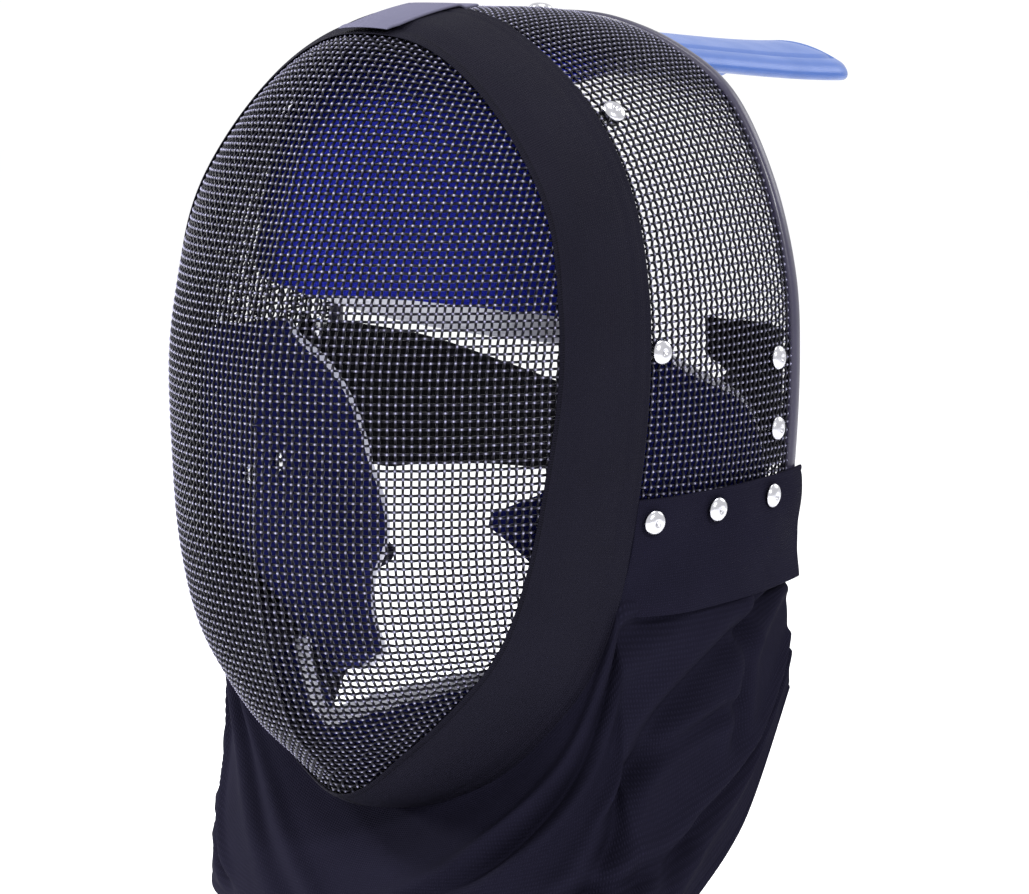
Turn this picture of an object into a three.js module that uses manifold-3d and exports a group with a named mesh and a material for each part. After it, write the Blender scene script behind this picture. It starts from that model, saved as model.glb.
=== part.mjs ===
// Fencing mask: a wire basket with a cloth trim, a rim binding, a bib, pads, a back strap and a rear tongue.
// Millimetres. +Z is up, -Y is where the face looks, +X is the wearer's left.
// Heights and depths below are counted from the middle of the face.
// The last group moves the origin to the head seat.

import * as THREE from "three";
import Module from "manifold-3d";

// Basket: three half outlines, at the seam, at the trim's rear edge and at the rear rim
const FACE_HALF_WIDTH = 92.2;
const FACE_ABOVE = 149.3;
const FACE_BELOW = 137.4;
const BAND_HALF_WIDTH = 105.9;
const BAND_ABOVE = 155.6;
const BAND_BELOW = 145.4;
const RIM_HALF_WIDTH = 112.6;
const RIM_ABOVE = 154.0;
const RIM_BELOW = 137.4;
const RIDGE_REACH = 62.0;
const SEAM_DEPTH = 5.0;
const SEAM_LEAN = 0.0785;
const RIM_DEPTH = 134.0;
const OUTLINE_STEPS = 26;
const JAW_STEPS = 17;
const FACE_CENTRE_LEVEL = 8.0;
const CHEEK_SLOPE = 0.31;
const FRONT_SPAN = 100;
const SAMPLES = 400;

// Layers
const CLEARANCE = 0.3;
const SEAT_CLEARANCE = 0.45;
const RIVET_CLEARANCE = 0.7;
const WIRE_CLOTH = 2.0;
const MESH_LIP = 8.0;
const TRIM_WIDTH = 35.2;
const TRIM_MIDDLE = 22.0;
const TRIM_LIP = 1.0;
const TRIM_CLOTH = 2.0;
const PATCH_CLOTH = 1.2;
const PATCH_HALF_WIDTH = 11.0;
const PATCH_LENGTH = 48.0;
const BINDING_WALL = 1.2;
const BINDING_GRIP = 5.0;
const STRAP_CLOTH = 2.0;
const STRAP_INSET = 1.5;

// Yokes
const YOKE_CLOTH = 2.0;
const YOKE_TOP_FRONT = -0.156 * FACE_BELOW;
const YOKE_TOP_BACK = -0.127 * FACE_BELOW;
const YOKE_FOLD_FRONT = -0.48 * FACE_BELOW;
const YOKE_FOLD_BACK = -0.44 * FACE_BELOW;
const YOKE_PAST_RIM = 2.5;
const YOKE_FLARE = 3.4;

// Bib
const BIB_PADDING = 5.5;
const BIB_TOP_LEVEL = -0.415 * FACE_BELOW;
const BIB_HEM_LEVEL = -193.0;
const BIB_HALF_WIDTH = 109.0;
const BIB_BACK = RIM_DEPTH + 3.0;
const BIB_BULGE = 9.0;
const BIB_HEM_FRONT = -6.0;
const BIB_JAW_SHARE = 0.5;
const BIB_TURNED_BY = 0.7;

// Pads
const PAD_THICKNESS = 10.0;
const PAD_EDGE_THICKNESS = 5.0;
const PAD_BORDER = 0.2;
const SIDE_PAD_FRONT = 16.0;
const SIDE_PAD_BACK = RIM_DEPTH - 7.0;
const SIDE_PAD_TOP = 32.0;
const SIDE_PAD_BOTTOM = -104.0;
const SIDE_PAD_TUCK = 6.0;
const SIDE_PAD_TUCK_START = -28.0;
const SIDE_PAD_TUCK_RUN = 40.0;
const CROWN_PAD_THICKNESS = 13.0;
const CROWN_PAD_HALF_WIDTH = 86.0;
const CROWN_PAD_LEVEL = 52.0;
const CROWN_PAD_FRONT = 14.0;
const CROWN_PAD_WRAP = 34.0;
const CROWN_PAD_ROOF_FRONT = 36.0;
const CROWN_PAD_ROOF_BACK = 91.0;
const CROWN_PAD_ROOF_TURN = 0.19;
const CROWN_PAD_SKEW = 0.05;
const CROWN_PAD_ROOF_SHARE = 0.6;
const CROWN_PAD_BEND = { out: 0.9, forward: 9.0, up: 0.66 };
const CHIN_PAD_HALF_WIDTH = 60.0;
const CHIN_PAD_LEVEL = -109.0;
const CHIN_PAD_RISE = 21.0;
const CHIN_PAD_FRONT = -16.0;
const CHIN_PAD_SWEEP = 58.0;
const CHIN_PAD_TURN = 0.17;
const CHIN_PAD_SEAT_FRONT = 5.0;
const CHIN_PAD_SEAT_BACK = 30.0;
const CHIN_PAD_SWEEP_POWER = 1.3;
const CHIN_PAD_RISE_POWER = 0.8;

// Tongue
const TONGUE_HALF_WIDTH = 41.0;
const TONGUE_FRONT = RIM_DEPTH - 24.0;
const TONGUE_BACK = RIM_DEPTH + 157.0;
const TONGUE_PADDING = 10.0;
const TONGUE_EDGE = 6.5;
const TONGUE_ARCH = 10.5;
const TONGUE_DROP = 9.5;
const TONGUE_END_RUN = 25.0;
const TONGUE_END_TAPER = 0.3;
const TONGUE_SINK = 3.0;

// Rivets
const RIVET_HEAD_RADIUS = 4.75;
const RIVET_HEAD_HEIGHT = 2.2;
const RIVET_SHOULDER_OUT = 0.7;
const RIVET_SHOULDER_UP = 0.75;
const RIVET_SHANK_RADIUS = 1.6;
const WASHER_RADIUS = 4.2;
const WASHER_THICKNESS = 0.8;
const ROUND_SIDES = 10;
const HOLE_SIDES = 6;

// Where the head sits: the underside of the crown pad at its middle
const HEAD_SEAT_BACK = 80.0;

// Half outlines from the crown (row 0) to the chin (last row), as shares of the half widths and heights.
// "out" is the share of the half width, "up" the share of the height above or below the middle of the face.
const SEAM_ROWS = [
  { out: 0.0, up: 1.0 },
  { out: 0.267, up: 0.9725 },
  { out: 0.53, up: 0.871 },
  { out: 0.771, up: 0.709 },
  { out: 0.922, up: 0.541 },
  { out: 0.985, up: 0.335 },
  { out: 1.0, up: 0.147 },
  { out: 0.957, up: -0.097 },
  { out: 0.895, up: -0.325 },
  { out: 0.795, up: -0.524 },
  { out: 0.635, up: -0.673 },
  { out: 0.335, up: -0.859 },
  { out: 0.0, up: -1.0 },
];
const BAND_ROWS = [
  { out: 0.0, up: 1.0 },
  { out: 0.255, up: 0.983 },
  { out: 0.506, up: 0.893 },
  { out: 0.747, up: 0.743 },
  { out: 0.903, up: 0.563 },
  { out: 0.982, up: 0.346 },
  { out: 1.0, up: 0.141 },
  { out: 0.984, up: -0.096 },
  { out: 0.935, up: -0.344 },
  { out: 0.857, up: -0.543 },
  { out: 0.7, up: -0.715 },
  { out: 0.388, up: -0.911 },
  { out: 0.0, up: -1.0 },
];
const RIM_ROWS = [
  { out: 0.0, up: 1.0 },
  { out: 0.249, up: 0.986 },
  { out: 0.506, up: 0.922 },
  { out: 0.728, up: 0.8095 },
  { out: 0.888, up: 0.605 },
  { out: 0.98, up: 0.371 },
  { out: 1.0, up: 0.156 },
  { out: 0.985, up: -0.109 },
  { out: 0.95, up: -0.378 },
  { out: 0.897, up: -0.582 },
  { out: 0.764, up: -0.764 },
  { out: 0.426, up: -0.946 },
  { out: 0.0, up: -1.02 },
];

// Centre crease from the crown to the chin: "reach" is the share of RIDGE_REACH in front of the seam
const RIDGE_ROWS = [
  { up: 1.0, reach: 0.0 },
  { up: 0.965, reach: 0.27 },
  { up: 0.86, reach: 0.49 },
  { up: 0.72, reach: 0.67 },
  { up: 0.57, reach: 0.8 },
  { up: 0.4, reach: 0.935 },
  { up: 0.2, reach: 1.0 },
  { up: 0.0, reach: 0.985 },
  { up: -0.27, reach: 0.955 },
  { up: -0.5, reach: 0.84 },
  { up: -0.66, reach: 0.69 },
  { up: -0.79, reach: 0.52 },
  { up: -0.9, reach: 0.24 },
  { up: -0.95, reach: 0.1 },
  { up: -1.0, reach: 0.0 },
];

// Bib ribs from the chin (row 0) to its rear edge: where the hem lies, and how far the cloth bulges above it
const BIB_ROWS = [
  { out: 0.0, back: 0.0, down: 1.0, bulge: 0.5 },
  { out: 0.4, back: 0.03, down: 1.0, bulge: 0.3 },
  { out: 0.77, back: 0.18, down: 1.0, bulge: -0.4 },
  { out: 0.97, back: 0.35, down: 0.985, bulge: -1.0 },
  { out: 1.0, back: 0.5, down: 0.92, bulge: -0.5 },
  { out: 1.0, back: 0.77, down: 0.72, bulge: 0.2 },
  { out: 1.0, back: 1.0, down: 0.36, bulge: 0.0 },
];

// Side pad outline from its top to its bottom: where its front and rear edges lie, as shares of its depth
const SIDE_PAD_ROWS = [
  { down: 0.0, front: 0.0, back: 0.5 },
  { down: 0.17, front: 0.0, back: 0.74 },
  { down: 0.31, front: 0.0, back: 0.88 },
  { down: 0.47, front: 0.0, back: 0.985 },
  { down: 0.64, front: 0.05, back: 1.0 },
  { down: 0.85, front: 0.3, back: 0.86 },
  { down: 1.0, front: 0.5, back: 0.7 },
];

// Back strap, from its cut end on the wearer's left wall round the back of the head to the right wall.
// "behind" is the depth behind the rear rim, and "top" and "bottom" are shares of the height above the middle.
// On a wall the strap hugs the wire cloth; across the back "out" is its share of the rim's half width.
const STRAP_ROWS = [
  { wall: 1, behind: -58, inset: 0.4, top: 0.295, bottom: 0.2 },
  { wall: 1, behind: -39, inset: 0, top: 0.278, bottom: 0.12 },
  { wall: 1, behind: -23, inset: 0, top: 0.265, bottom: 0.013 },
  { wall: 1, behind: -9, inset: 2, top: 0.248, bottom: -0.067 },
  { out: 0.88, behind: 9, top: 0.221, bottom: -0.114 },
  { out: 0.693, behind: 23, top: 0.141, bottom: -0.174 },
  { out: 0.373, behind: 33, top: 0.027, bottom: -0.221 },
  { out: 0, behind: 37, top: -0.013, bottom: -0.234 },
  { out: -0.373, behind: 33, top: 0.054, bottom: -0.221 },
  { out: -0.693, behind: 23, top: 0.127, bottom: -0.221 },
  { out: -0.88, behind: 9, top: 0.161, bottom: -0.228 },
  { wall: -1, behind: -9, inset: 2, top: 0.181, bottom: -0.107 },
  { wall: -1, behind: -26, inset: 0, top: 0.2, bottom: 0.013 },
];

// Rivets of one side, and the layers that the shank goes through. "run" is the share of the way from the
// front rivets' line, just behind the trim, to the rear rivets' line, just ahead of the rim.
// "up" is the share of the height above the middle, and "further" moves a rivet back in millimetres.
const RIVET_BEHIND_TRIM = RIVET_HEAD_RADIUS + 0.8;
const RIVET_BEFORE_RIM = 20.5;
const RIVET_ROWS = [
  { name: "brow", run: 0, further: 3.0, up: 0.8, through: ["side_mesh"] },
  { name: "temple", run: 0, further: 0, up: 0.218, through: ["side_mesh"] },
  { name: "strap_upper", run: 1, further: 3.0, up: 0.171, through: ["side_mesh", "back_strap"] },
  { name: "strap_lower", run: 1, further: 3.0, up: -0.01, through: ["side_mesh", "back_strap"] },
  { name: "yoke_front", run: 0, further: 0.8, up: -0.198, through: ["side_mesh", "yoke", "side_pad"] },
  { name: "yoke_middle", run: 0.44, further: 0, up: -0.184, through: ["side_mesh", "yoke", "side_pad"] },
  { name: "yoke_back", run: 1, further: -4.5, up: -0.174, through: ["side_mesh", "yoke", "side_pad"] },
];
const TONGUE_RIVET_BACK = RIM_DEPTH - 12.0;

const wasm = await Module();
wasm.setup();

// Number helpers

function mix(a, b, share) {
  return a + (b - a) * share;
}

function ease(share) {
  return share * share * (3 - 2 * share);
}

// A smooth curve through one column of a table, at a share of the way down it.
// At each end the curve is mirrored: sign 1 leaves it level there, sign -1 lets it run on through zero.
function along(rows, column, share, startSign = 1, endSign = 1) {
  const last = rows.length - 1;
  const place = THREE.MathUtils.clamp(share, 0, 1) * last;
  const row = Math.min(Math.floor(place), last - 1);
  const at = (index) => {
    if (index < 0) return startSign * rows[1][column];
    if (index > last) return endSign * rows[last - 1][column];
    return rows[index][column];
  };
  const f = place - row;
  const [a, b, c, d] = [at(row - 1), at(row), at(row + 1), at(row + 2)];
  const square = 2 * a - 5 * b + 4 * c - d;
  const cube = 3 * b - a - 3 * c + d;
  return 0.5 * (2 * b + (c - a) * f + square * f ** 2 + cube * f ** 3);
}

// Straight lines through two columns of a table, for a known value of the first
function lookUp(pairs, value) {
  let low = 0;
  let high = pairs.length - 1;
  while (high - low > 1) {
    const middle = (low + high) >> 1;
    if (pairs[middle][0] >= value) low = middle;
    else high = middle;
  }
  const span = pairs[high][0] - pairs[low][0];
  const share = span === 0 ? 0 : THREE.MathUtils.clamp((value - pairs[low][0]) / span, 0, 1);
  return mix(pairs[low][1], pairs[high][1], share);
}

// Basket surface. "turn" runs from 0 at the crown to 1 at the chin, negative on the wearer's right.
// "behind" is the distance behind the seam. Below zero it is on the front, down to -100 at its middle.

function outlinePoint(rows, half, above, below, turn) {
  const share = Math.abs(turn);
  const out = along(rows, "out", share, -1, -1) * half * Math.sign(turn);
  const up = along(rows, "up", share);
  return [out, up > 0 ? up * above : up * below];
}

function seamPoint(turn) {
  return outlinePoint(SEAM_ROWS, FACE_HALF_WIDTH, FACE_ABOVE, FACE_BELOW, turn);
}

function seamDepth(level) {
  return SEAM_DEPTH + SEAM_LEAN * level;
}

const JAW_TURN = JAW_STEPS / OUTLINE_STEPS;
const seamWidths = [];
const ridgeReaches = [];
for (let i = 0; i <= SAMPLES; i += 1) {
  const [out, level] = seamPoint(i / SAMPLES);
  seamWidths.push([level, out]);
  const up = along(RIDGE_ROWS, "up", i / SAMPLES);
  const reach = along(RIDGE_ROWS, "reach", i / SAMPLES, -1, -1);
  ridgeReaches.push([up > 0 ? up * FACE_ABOVE : up * FACE_BELOW, reach * RIDGE_REACH]);
}

function frontPoint(turn, share) {
  const [seamOut, seamLevel] = seamPoint(turn);
  const out = share * seamOut;
  const level = mix(FACE_CENTRE_LEVEL, seamLevel, share);
  const t = Math.abs(out) / Math.max(lookUp(seamWidths, level), 0.001);
  const fall = CHEEK_SLOPE * t + (1 - CHEEK_SLOPE) * t ** 3;
  return new THREE.Vector3(out, seamDepth(level) - lookUp(ridgeReaches, level) * (1 - fall), level);
}

function rimBehind(turn) {
  return RIM_DEPTH - seamDepth(seamPoint(turn)[1]);
}

function sidePoint(turn, behind) {
  const seam = seamPoint(turn);
  const band = outlinePoint(BAND_ROWS, BAND_HALF_WIDTH, BAND_ABOVE, BAND_BELOW, turn);
  const rim = outlinePoint(RIM_ROWS, RIM_HALF_WIDTH, RIM_ABOVE, RIM_BELOW, turn);
  const whole = rimBehind(turn);
  const bow = [0, 1].map((k) => {
    const slope = (band[k] - seam[k]) / TRIM_WIDTH;
    const bend = ((rim[k] - band[k]) / (whole - TRIM_WIDTH) - slope) / whole;
    return seam[k] + slope * behind + bend * behind * (behind - TRIM_WIDTH);
  });
  return new THREE.Vector3(bow[0], seamDepth(seam[1]) + behind, bow[1]);
}

function bare(turn, behind) {
  return behind < 0 ? frontPoint(turn, 1 + behind / FRONT_SPAN) : sidePoint(turn, behind);
}

function outward(turn, behind) {
  if (behind <= -FRONT_SPAN) return new THREE.Vector3(0, -1, 0);
  const step = 0.001;
  const reach = 0.3;
  const across = bare(turn + step, behind).sub(bare(turn - step, behind));
  const back = bare(turn, behind + reach).sub(bare(turn, behind - reach));
  return across.cross(back).normalize();
}

// A point on the basket, "off" millimetres outside the outer face of the wire cloth
function basket(turn, behind, off = 0) {
  return bare(turn, behind).addScaledVector(outward(turn, behind), off);
}

// The turn at which the side of the basket reaches a height
function turnAt(level, behind) {
  let low = 0.03;
  let high = 0.97;
  for (let i = 0; i < 30; i += 1) {
    const middle = (low + high) / 2;
    if (sidePoint(middle, behind).z > level) low = middle;
    else high = middle;
  }
  return (low + high) / 2;
}

// A point on one side wall by its depth and height
function wall(side, back, level, off) {
  let behind = back - seamDepth(level);
  let turn = turnAt(level, behind);
  behind = back - seamDepth(seamPoint(turn)[1]);
  turn = turnAt(level, behind);
  const point = basket(turn, behind, off);
  point.x *= side;
  return point;
}

function wallNormal(side, back, level) {
  const normal = wall(side, back, level, 1).sub(wall(side, back, level, 0));
  return normal.normalize();
}

// Solids

function geometryOf(points, triangles) {
  const geometry = new THREE.BufferGeometry();
  const numbers = points.flatMap((p) => [p.x, p.y, p.z]);
  geometry.setAttribute("position", new THREE.Float32BufferAttribute(numbers, 3));
  geometry.setIndex(triangles.flat());
  return geometry;
}

// A closed sheet with two faces, each a function of two shares on a grid.
// "ring" joins the last column to the first, "pole" closes the first row to one point,
// and "flip" turns the faces where the first face lies on the inside.
function sheet(columns, rows, outer, inner, { ring = false, pole = false, flip = false } = {}) {
  const points = [];
  const grids = [outer, inner].map((face) => {
    const grid = [];
    for (let j = 0; j <= rows; j += 1) {
      const row = [];
      for (let i = 0; i <= columns; i += 1) {
        const repeats = (ring && i === columns) || (pole && j === 0 && i > 0);
        if (repeats) {
          row.push(row[0]);
        } else {
          points.push(face(i / columns, j / rows));
          row.push(points.length - 1);
        }
      }
      grid.push(row);
    }
    return grid;
  });
  const triangles = [];
  const add = (a, b, c) => {
    if (a !== b && b !== c && c !== a) triangles.push(flip ? [a, c, b] : [a, b, c]);
  };
  const quad = (a, b, c, d) => {
    add(a, b, c);
    add(a, c, d);
  };
  const [out, into] = grids;
  for (let j = 0; j < rows; j += 1) {
    for (let i = 0; i < columns; i += 1) {
      quad(out[j][i], out[j][i + 1], out[j + 1][i + 1], out[j + 1][i]);
      quad(into[j][i], into[j + 1][i], into[j + 1][i + 1], into[j][i + 1]);
    }
    if (!ring) {
      quad(out[j][0], out[j + 1][0], into[j + 1][0], into[j][0]);
      quad(out[j][columns], into[j][columns], into[j + 1][columns], out[j + 1][columns]);
    }
  }
  for (let i = 0; i < columns; i += 1) {
    if (!pole) quad(out[0][i], into[0][i], into[0][i + 1], out[0][i + 1]);
    quad(out[rows][i], out[rows][i + 1], into[rows][i + 1], into[rows][i]);
  }
  return geometryOf(points, triangles);
}

// A closed section carried along a path: section(share) gives the ring of points there
function sweep(steps, section) {
  const rings = [];
  const points = [];
  for (let i = 0; i <= steps; i += 1) {
    rings.push(section(i / steps).map((point) => points.push(point) - 1));
  }
  const triangles = [];
  const sides = rings[0].length;
  for (let i = 0; i < steps; i += 1) {
    for (let k = 0; k < sides; k += 1) {
      const next = (k + 1) % sides;
      triangles.push([rings[i][k], rings[i][next], rings[i + 1][next]]);
      triangles.push([rings[i][k], rings[i + 1][next], rings[i + 1][k]]);
    }
  }
  return { points, rings, triangles };
}

function solidOf(geometry) {
  return new wasm.Manifold(new wasm.Mesh({
    numProp: 3,
    vertProperties: new Float32Array(geometry.attributes.position.array),
    triVerts: new Uint32Array(geometry.index.array),
  }));
}

function geometryFrom(solid) {
  const mesh = solid.getMesh();
  const geometry = new THREE.BufferGeometry();
  geometry.setAttribute("position", new THREE.BufferAttribute(new Float32Array(mesh.vertProperties), 3));
  geometry.setIndex(new THREE.BufferAttribute(new Uint32Array(mesh.triVerts), 1));
  return geometry;
}

const UP = new THREE.Vector3(0, 1, 0);

// A round bar as a closed mesh, for cutting a rivet's hole along its own line
function bar(centre, direction, radius, half) {
  const points = [];
  const turnTo = new THREE.Quaternion().setFromUnitVectors(UP, direction);
  for (const end of [-half, half]) {
    for (let k = 0; k < HOLE_SIDES; k += 1) {
      const angle = (2 * Math.PI * k) / HOLE_SIDES;
      const spoke = new THREE.Vector3(radius * Math.sin(angle), end, radius * Math.cos(angle));
      points.push(spoke.applyQuaternion(turnTo).add(centre));
    }
  }
  const triangles = [];
  for (let k = 0; k < HOLE_SIDES; k += 1) {
    const next = (k + 1) % HOLE_SIDES;
    triangles.push([k, next, HOLE_SIDES + next], [k, HOLE_SIDES + next, HOLE_SIDES + k]);
    if (k > 0 && k < HOLE_SIDES - 1) {
      triangles.push([0, next, k], [HOLE_SIDES, HOLE_SIDES + k, HOLE_SIDES + next]);
    }
  }
  return solidOf(geometryOf(points, triangles));
}

// Finishes

function finish(color, roughness, metalness = 0) {
  return new THREE.MeshStandardMaterial({ color, roughness, metalness });
}

const blackWire = finish(0x1c1b20, 0.42, 0.7);
const blackTape = finish(0x201f26, 0.85);
const navyCotton = finish(0x1a1a28, 0.9);
const greyBinding = finish(0x5a5a72, 0.35, 0.2);
const greyPatch = finish(0x9c98b8, 0.8);
const royalLining = finish(0x26308f, 0.8);
const blueLeatherette = finish(0x4b8fe0, 0.45);
const blackWebbing = finish(0x17171b, 0.85);
const nickel = finish(0xc9c9cf, 0.25, 0.9);

const solids = new Map();

// Front mesh: the domed wire cloth over the face, with a lip under the trim
function frontMesh() {
  const ringShares = [0, 0.25, 0.48, 0.68, 0.84, 0.95, 1];
  const lines = ringShares.length;
  const behindAt = (v) => {
    const line = Math.round(v * lines);
    return line < lines ? (ringShares[line] - 1) * FRONT_SPAN : MESH_LIP;
  };
  const turnOf = (u) => 2 * u - 1;
  return sheet(
    2 * OUTLINE_STEPS,
    lines,
    (u, v) => basket(turnOf(u), behindAt(v)),
    (u, v) => basket(turnOf(u), behindAt(v), -WIRE_CLOTH),
    { ring: true, pole: true },
  );
}

// Side mesh: the wire cloth from the trim back to the rim, over the crown and down both cheeks
function sideMesh() {
  const fixed = [MESH_LIP + 2 * CLEARANCE, TRIM_MIDDLE, TRIM_WIDTH];
  const bays = 5;
  const rows = fixed.length - 1 + bays;
  const face = (off) => (u, v) => {
    const turn = (2 * u - 1) * JAW_TURN;
    const line = Math.round(v * rows);
    const way = (line - fixed.length + 1) / bays;
    return basket(turn, line < fixed.length ? fixed[line] : mix(TRIM_WIDTH, rimBehind(turn), way), off);
  };
  return sheet(2 * JAW_STEPS, rows, face(0), face(-WIRE_CLOTH));
}

// Trim: the cloth band over the seam between the two wire cloths
function trimBand() {
  const lines = [-TRIM_LIP, 0, MESH_LIP, TRIM_MIDDLE, TRIM_WIDTH];
  const behindAt = (v) => lines[Math.round(v * (lines.length - 1))];
  return sheet(
    2 * OUTLINE_STEPS,
    lines.length - 1,
    (u, v) => basket(2 * u - 1, behindAt(v), CLEARANCE + TRIM_CLOTH),
    (u, v) => basket(2 * u - 1, behindAt(v), CLEARANCE),
    { ring: true },
  );
}

// Patch: the short cloth piece over the trim's joint at the crown
function trimPatch() {
  const [firstOut] = seamPoint(1 / (SEAM_ROWS.length - 1));
  const halfTurn = PATCH_HALF_WIDTH / firstOut / (SEAM_ROWS.length - 1);
  const base = 2 * CLEARANCE + TRIM_CLOTH;
  const lines = [-TRIM_LIP, 0, MESH_LIP, TRIM_MIDDLE, TRIM_WIDTH, PATCH_LENGTH];
  const last = lines.length - 1;
  const face = (off) => (u, v) => basket(halfTurn * (2 * u - 1), lines[Math.round(v * last)], off);
  return sheet(4, last, face(base + PATCH_CLOTH), face(base));
}

// Rim binding: a channel that grips the rear edge of the side mesh
function rimBinding() {
  const outer = CLEARANCE + BINDING_WALL;
  const inner = -WIRE_CLOTH - CLEARANCE;
  const profile = [
    [-BINDING_GRIP, outer],
    [-BINDING_GRIP, CLEARANCE],
    [CLEARANCE, CLEARANCE],
    [CLEARANCE, inner],
    [-BINDING_GRIP, inner],
    [-BINDING_GRIP, inner - BINDING_WALL],
    [outer, inner - BINDING_WALL],
    [outer, outer],
  ];
  const swept = sweep(2 * JAW_STEPS, (share) => {
    const turn = (2 * share - 1) * JAW_TURN;
    return profile.map(([back, off]) => basket(turn, rimBehind(turn) + back, off));
  });
  const first = swept.rings[0];
  const last = swept.rings[swept.rings.length - 1];
  for (const [a, b, c] of [[0, 1, 2], [0, 2, 7], [7, 2, 3], [7, 3, 6], [6, 3, 4], [6, 4, 5]]) {
    swept.triangles.push([first[a], first[c], first[b]], [last[a], last[b], last[c]]);
  }
  return geometryOf(swept.points, swept.triangles);
}

// Yoke: the plain cloth band over the lower edge of the side mesh, where the bib is fixed
function yoke(side) {
  const base = 2 * CLEARANCE + BINDING_WALL;
  const face = (off) => (u, v) => {
    const level = mix(mix(YOKE_TOP_FRONT, YOKE_TOP_BACK, u), mix(YOKE_FOLD_FRONT, YOKE_FOLD_BACK, u), v);
    const guess = mix(TRIM_WIDTH, RIM_DEPTH, u);
    const turn = turnAt(level, guess);
    const behind = mix(TRIM_WIDTH + 2 * CLEARANCE, rimBehind(turn) + YOKE_PAST_RIM, u);
    const point = basket(turnAt(level, behind), behind, off + YOKE_FLARE * v * v);
    point.x *= side;
    return point;
  };
  return sheet(9, 3, face(base + YOKE_CLOTH), face(base), { flip: side > 0 });
}

// Bib: the padded cloth that hangs round the throat and neck, open at the back
function bibTop(share, off) {
  const front = TRIM_WIDTH + 2 * CLEARANCE;
  const jaw = turnAt(BIB_TOP_LEVEL, front);
  if (share <= BIB_JAW_SHARE) return basket(mix(1, jaw, share / BIB_JAW_SHARE), front, off);
  const way = (share - BIB_JAW_SHARE) / (1 - BIB_JAW_SHARE);
  const behind = mix(front, rimBehind(jaw) + YOKE_PAST_RIM, way);
  return basket(turnAt(BIB_TOP_LEVEL, behind), behind, off);
}

function bibPoint(u, v, off) {
  const share = Math.abs(2 * u - 1);
  const side = u < 0.5 ? -1 : 1;
  const top = bibTop(share, CLEARANCE + BINDING_WALL + off);
  const hemOut = along(BIB_ROWS, "out", share, -1) * BIB_HALF_WIDTH;
  const hemBack = mix(BIB_HEM_FRONT, BIB_BACK, along(BIB_ROWS, "back", share));
  const hemLevel = mix(BIB_TOP_LEVEL, BIB_HEM_LEVEL, along(BIB_ROWS, "down", share));
  const bulge = along(BIB_ROWS, "bulge", share) * BIB_BULGE * Math.sin(Math.PI * v) ** 2;
  const heading = (Math.PI / 2) * Math.min(1, share / BIB_TURNED_BY);
  const settled = ease(v);
  const reach = bulge + off * settled;
  const point = new THREE.Vector3(
    mix(top.x, hemOut, settled) + reach * Math.sin(heading),
    mix(top.y, hemBack, settled) - reach * Math.cos(heading),
    mix(top.z, hemLevel, v),
  );
  point.x *= side;
  return point;
}

function bib() {
  return sheet(40, 7, (u, v) => bibPoint(u, v, 0), (u, v) => bibPoint(u, v, -BIB_PADDING), { flip: true });
}

// A pad is thick in its middle and thin at its border
function padThickness(u, v, full, edge) {
  const crown = Math.min(1, Math.min(u, 1 - u) / PAD_BORDER) * Math.min(1, Math.min(v, 1 - v) / PAD_BORDER);
  return mix(edge, full, crown);
}

function sidePad(side) {
  const base = -WIRE_CLOTH - SEAT_CLEARANCE - STRAP_CLOTH - CLEARANCE;
  const face = (inner) => (u, v) => {
    const level = mix(SIDE_PAD_TOP, SIDE_PAD_BOTTOM, along(SIDE_PAD_ROWS, "down", v, -1, -1));
    const edges = ["front", "back"].map((edge) => along(SIDE_PAD_ROWS, edge, v));
    const back = mix(SIDE_PAD_FRONT, SIDE_PAD_BACK, mix(edges[0], edges[1], u));
    const below = THREE.MathUtils.clamp((SIDE_PAD_TUCK_START - level) / SIDE_PAD_TUCK_RUN, 0, 1);
    const tuck = SIDE_PAD_TUCK * ease(below);
    const depth = inner * padThickness(u, v, PAD_THICKNESS, PAD_EDGE_THICKNESS);
    return wall(side, back, level, base - tuck - depth);
  };
  return sheet(8, 8, face(0), face(1), { flip: side > 0 });
}

// Crown pad: the forehead band, carried up and back under the crown of the basket
function crownPadFace(u, v) {
  const across = 2 * u - 1;
  const under = -WIRE_CLOTH - CLEARANCE - SEAT_CLEARANCE;
  const roof = (behind) => basket(across * CROWN_PAD_ROOF_TURN, behind, under);
  const skew = new THREE.Vector3(0, 0, -CROWN_PAD_SKEW * CROWN_PAD_HALF_WIDTH * across);
  const share = v / CROWN_PAD_ROOF_SHARE;
  if (share >= 1) {
    const way = (v - CROWN_PAD_ROOF_SHARE) / (1 - CROWN_PAD_ROOF_SHARE);
    return roof(mix(CROWN_PAD_ROOF_FRONT, CROWN_PAD_ROOF_BACK, way));
  }
  const wrap = CROWN_PAD_WRAP * across * across;
  const low = new THREE.Vector3(CROWN_PAD_HALF_WIDTH * across, CROWN_PAD_FRONT + wrap, CROWN_PAD_LEVEL);
  low.add(skew);
  const high = roof(CROWN_PAD_ROOF_FRONT);
  const bend = new THREE.Vector3(
    CROWN_PAD_BEND.out * low.x,
    low.y - CROWN_PAD_BEND.forward,
    mix(low.z, high.z, CROWN_PAD_BEND.up),
  );
  const start = low.multiplyScalar((1 - share) ** 2);
  return start.addScaledVector(bend, 2 * share * (1 - share)).addScaledVector(high, share * share);
}

function faceNormal(face, u, v) {
  const step = 0.01;
  const across = face(Math.min(1, u + step), v).sub(face(Math.max(0, u - step), v));
  const down = face(u, Math.min(1, v + step)).sub(face(u, Math.max(0, v - step)));
  return across.cross(down).normalize();
}

function crownPad() {
  const inner = (u, v) => {
    const thickness = padThickness(u, v, CROWN_PAD_THICKNESS, PAD_EDGE_THICKNESS);
    return crownPadFace(u, v).addScaledVector(faceNormal(crownPadFace, u, v), -thickness);
  };
  return sheet(12, 11, crownPadFace, inner);
}

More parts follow.
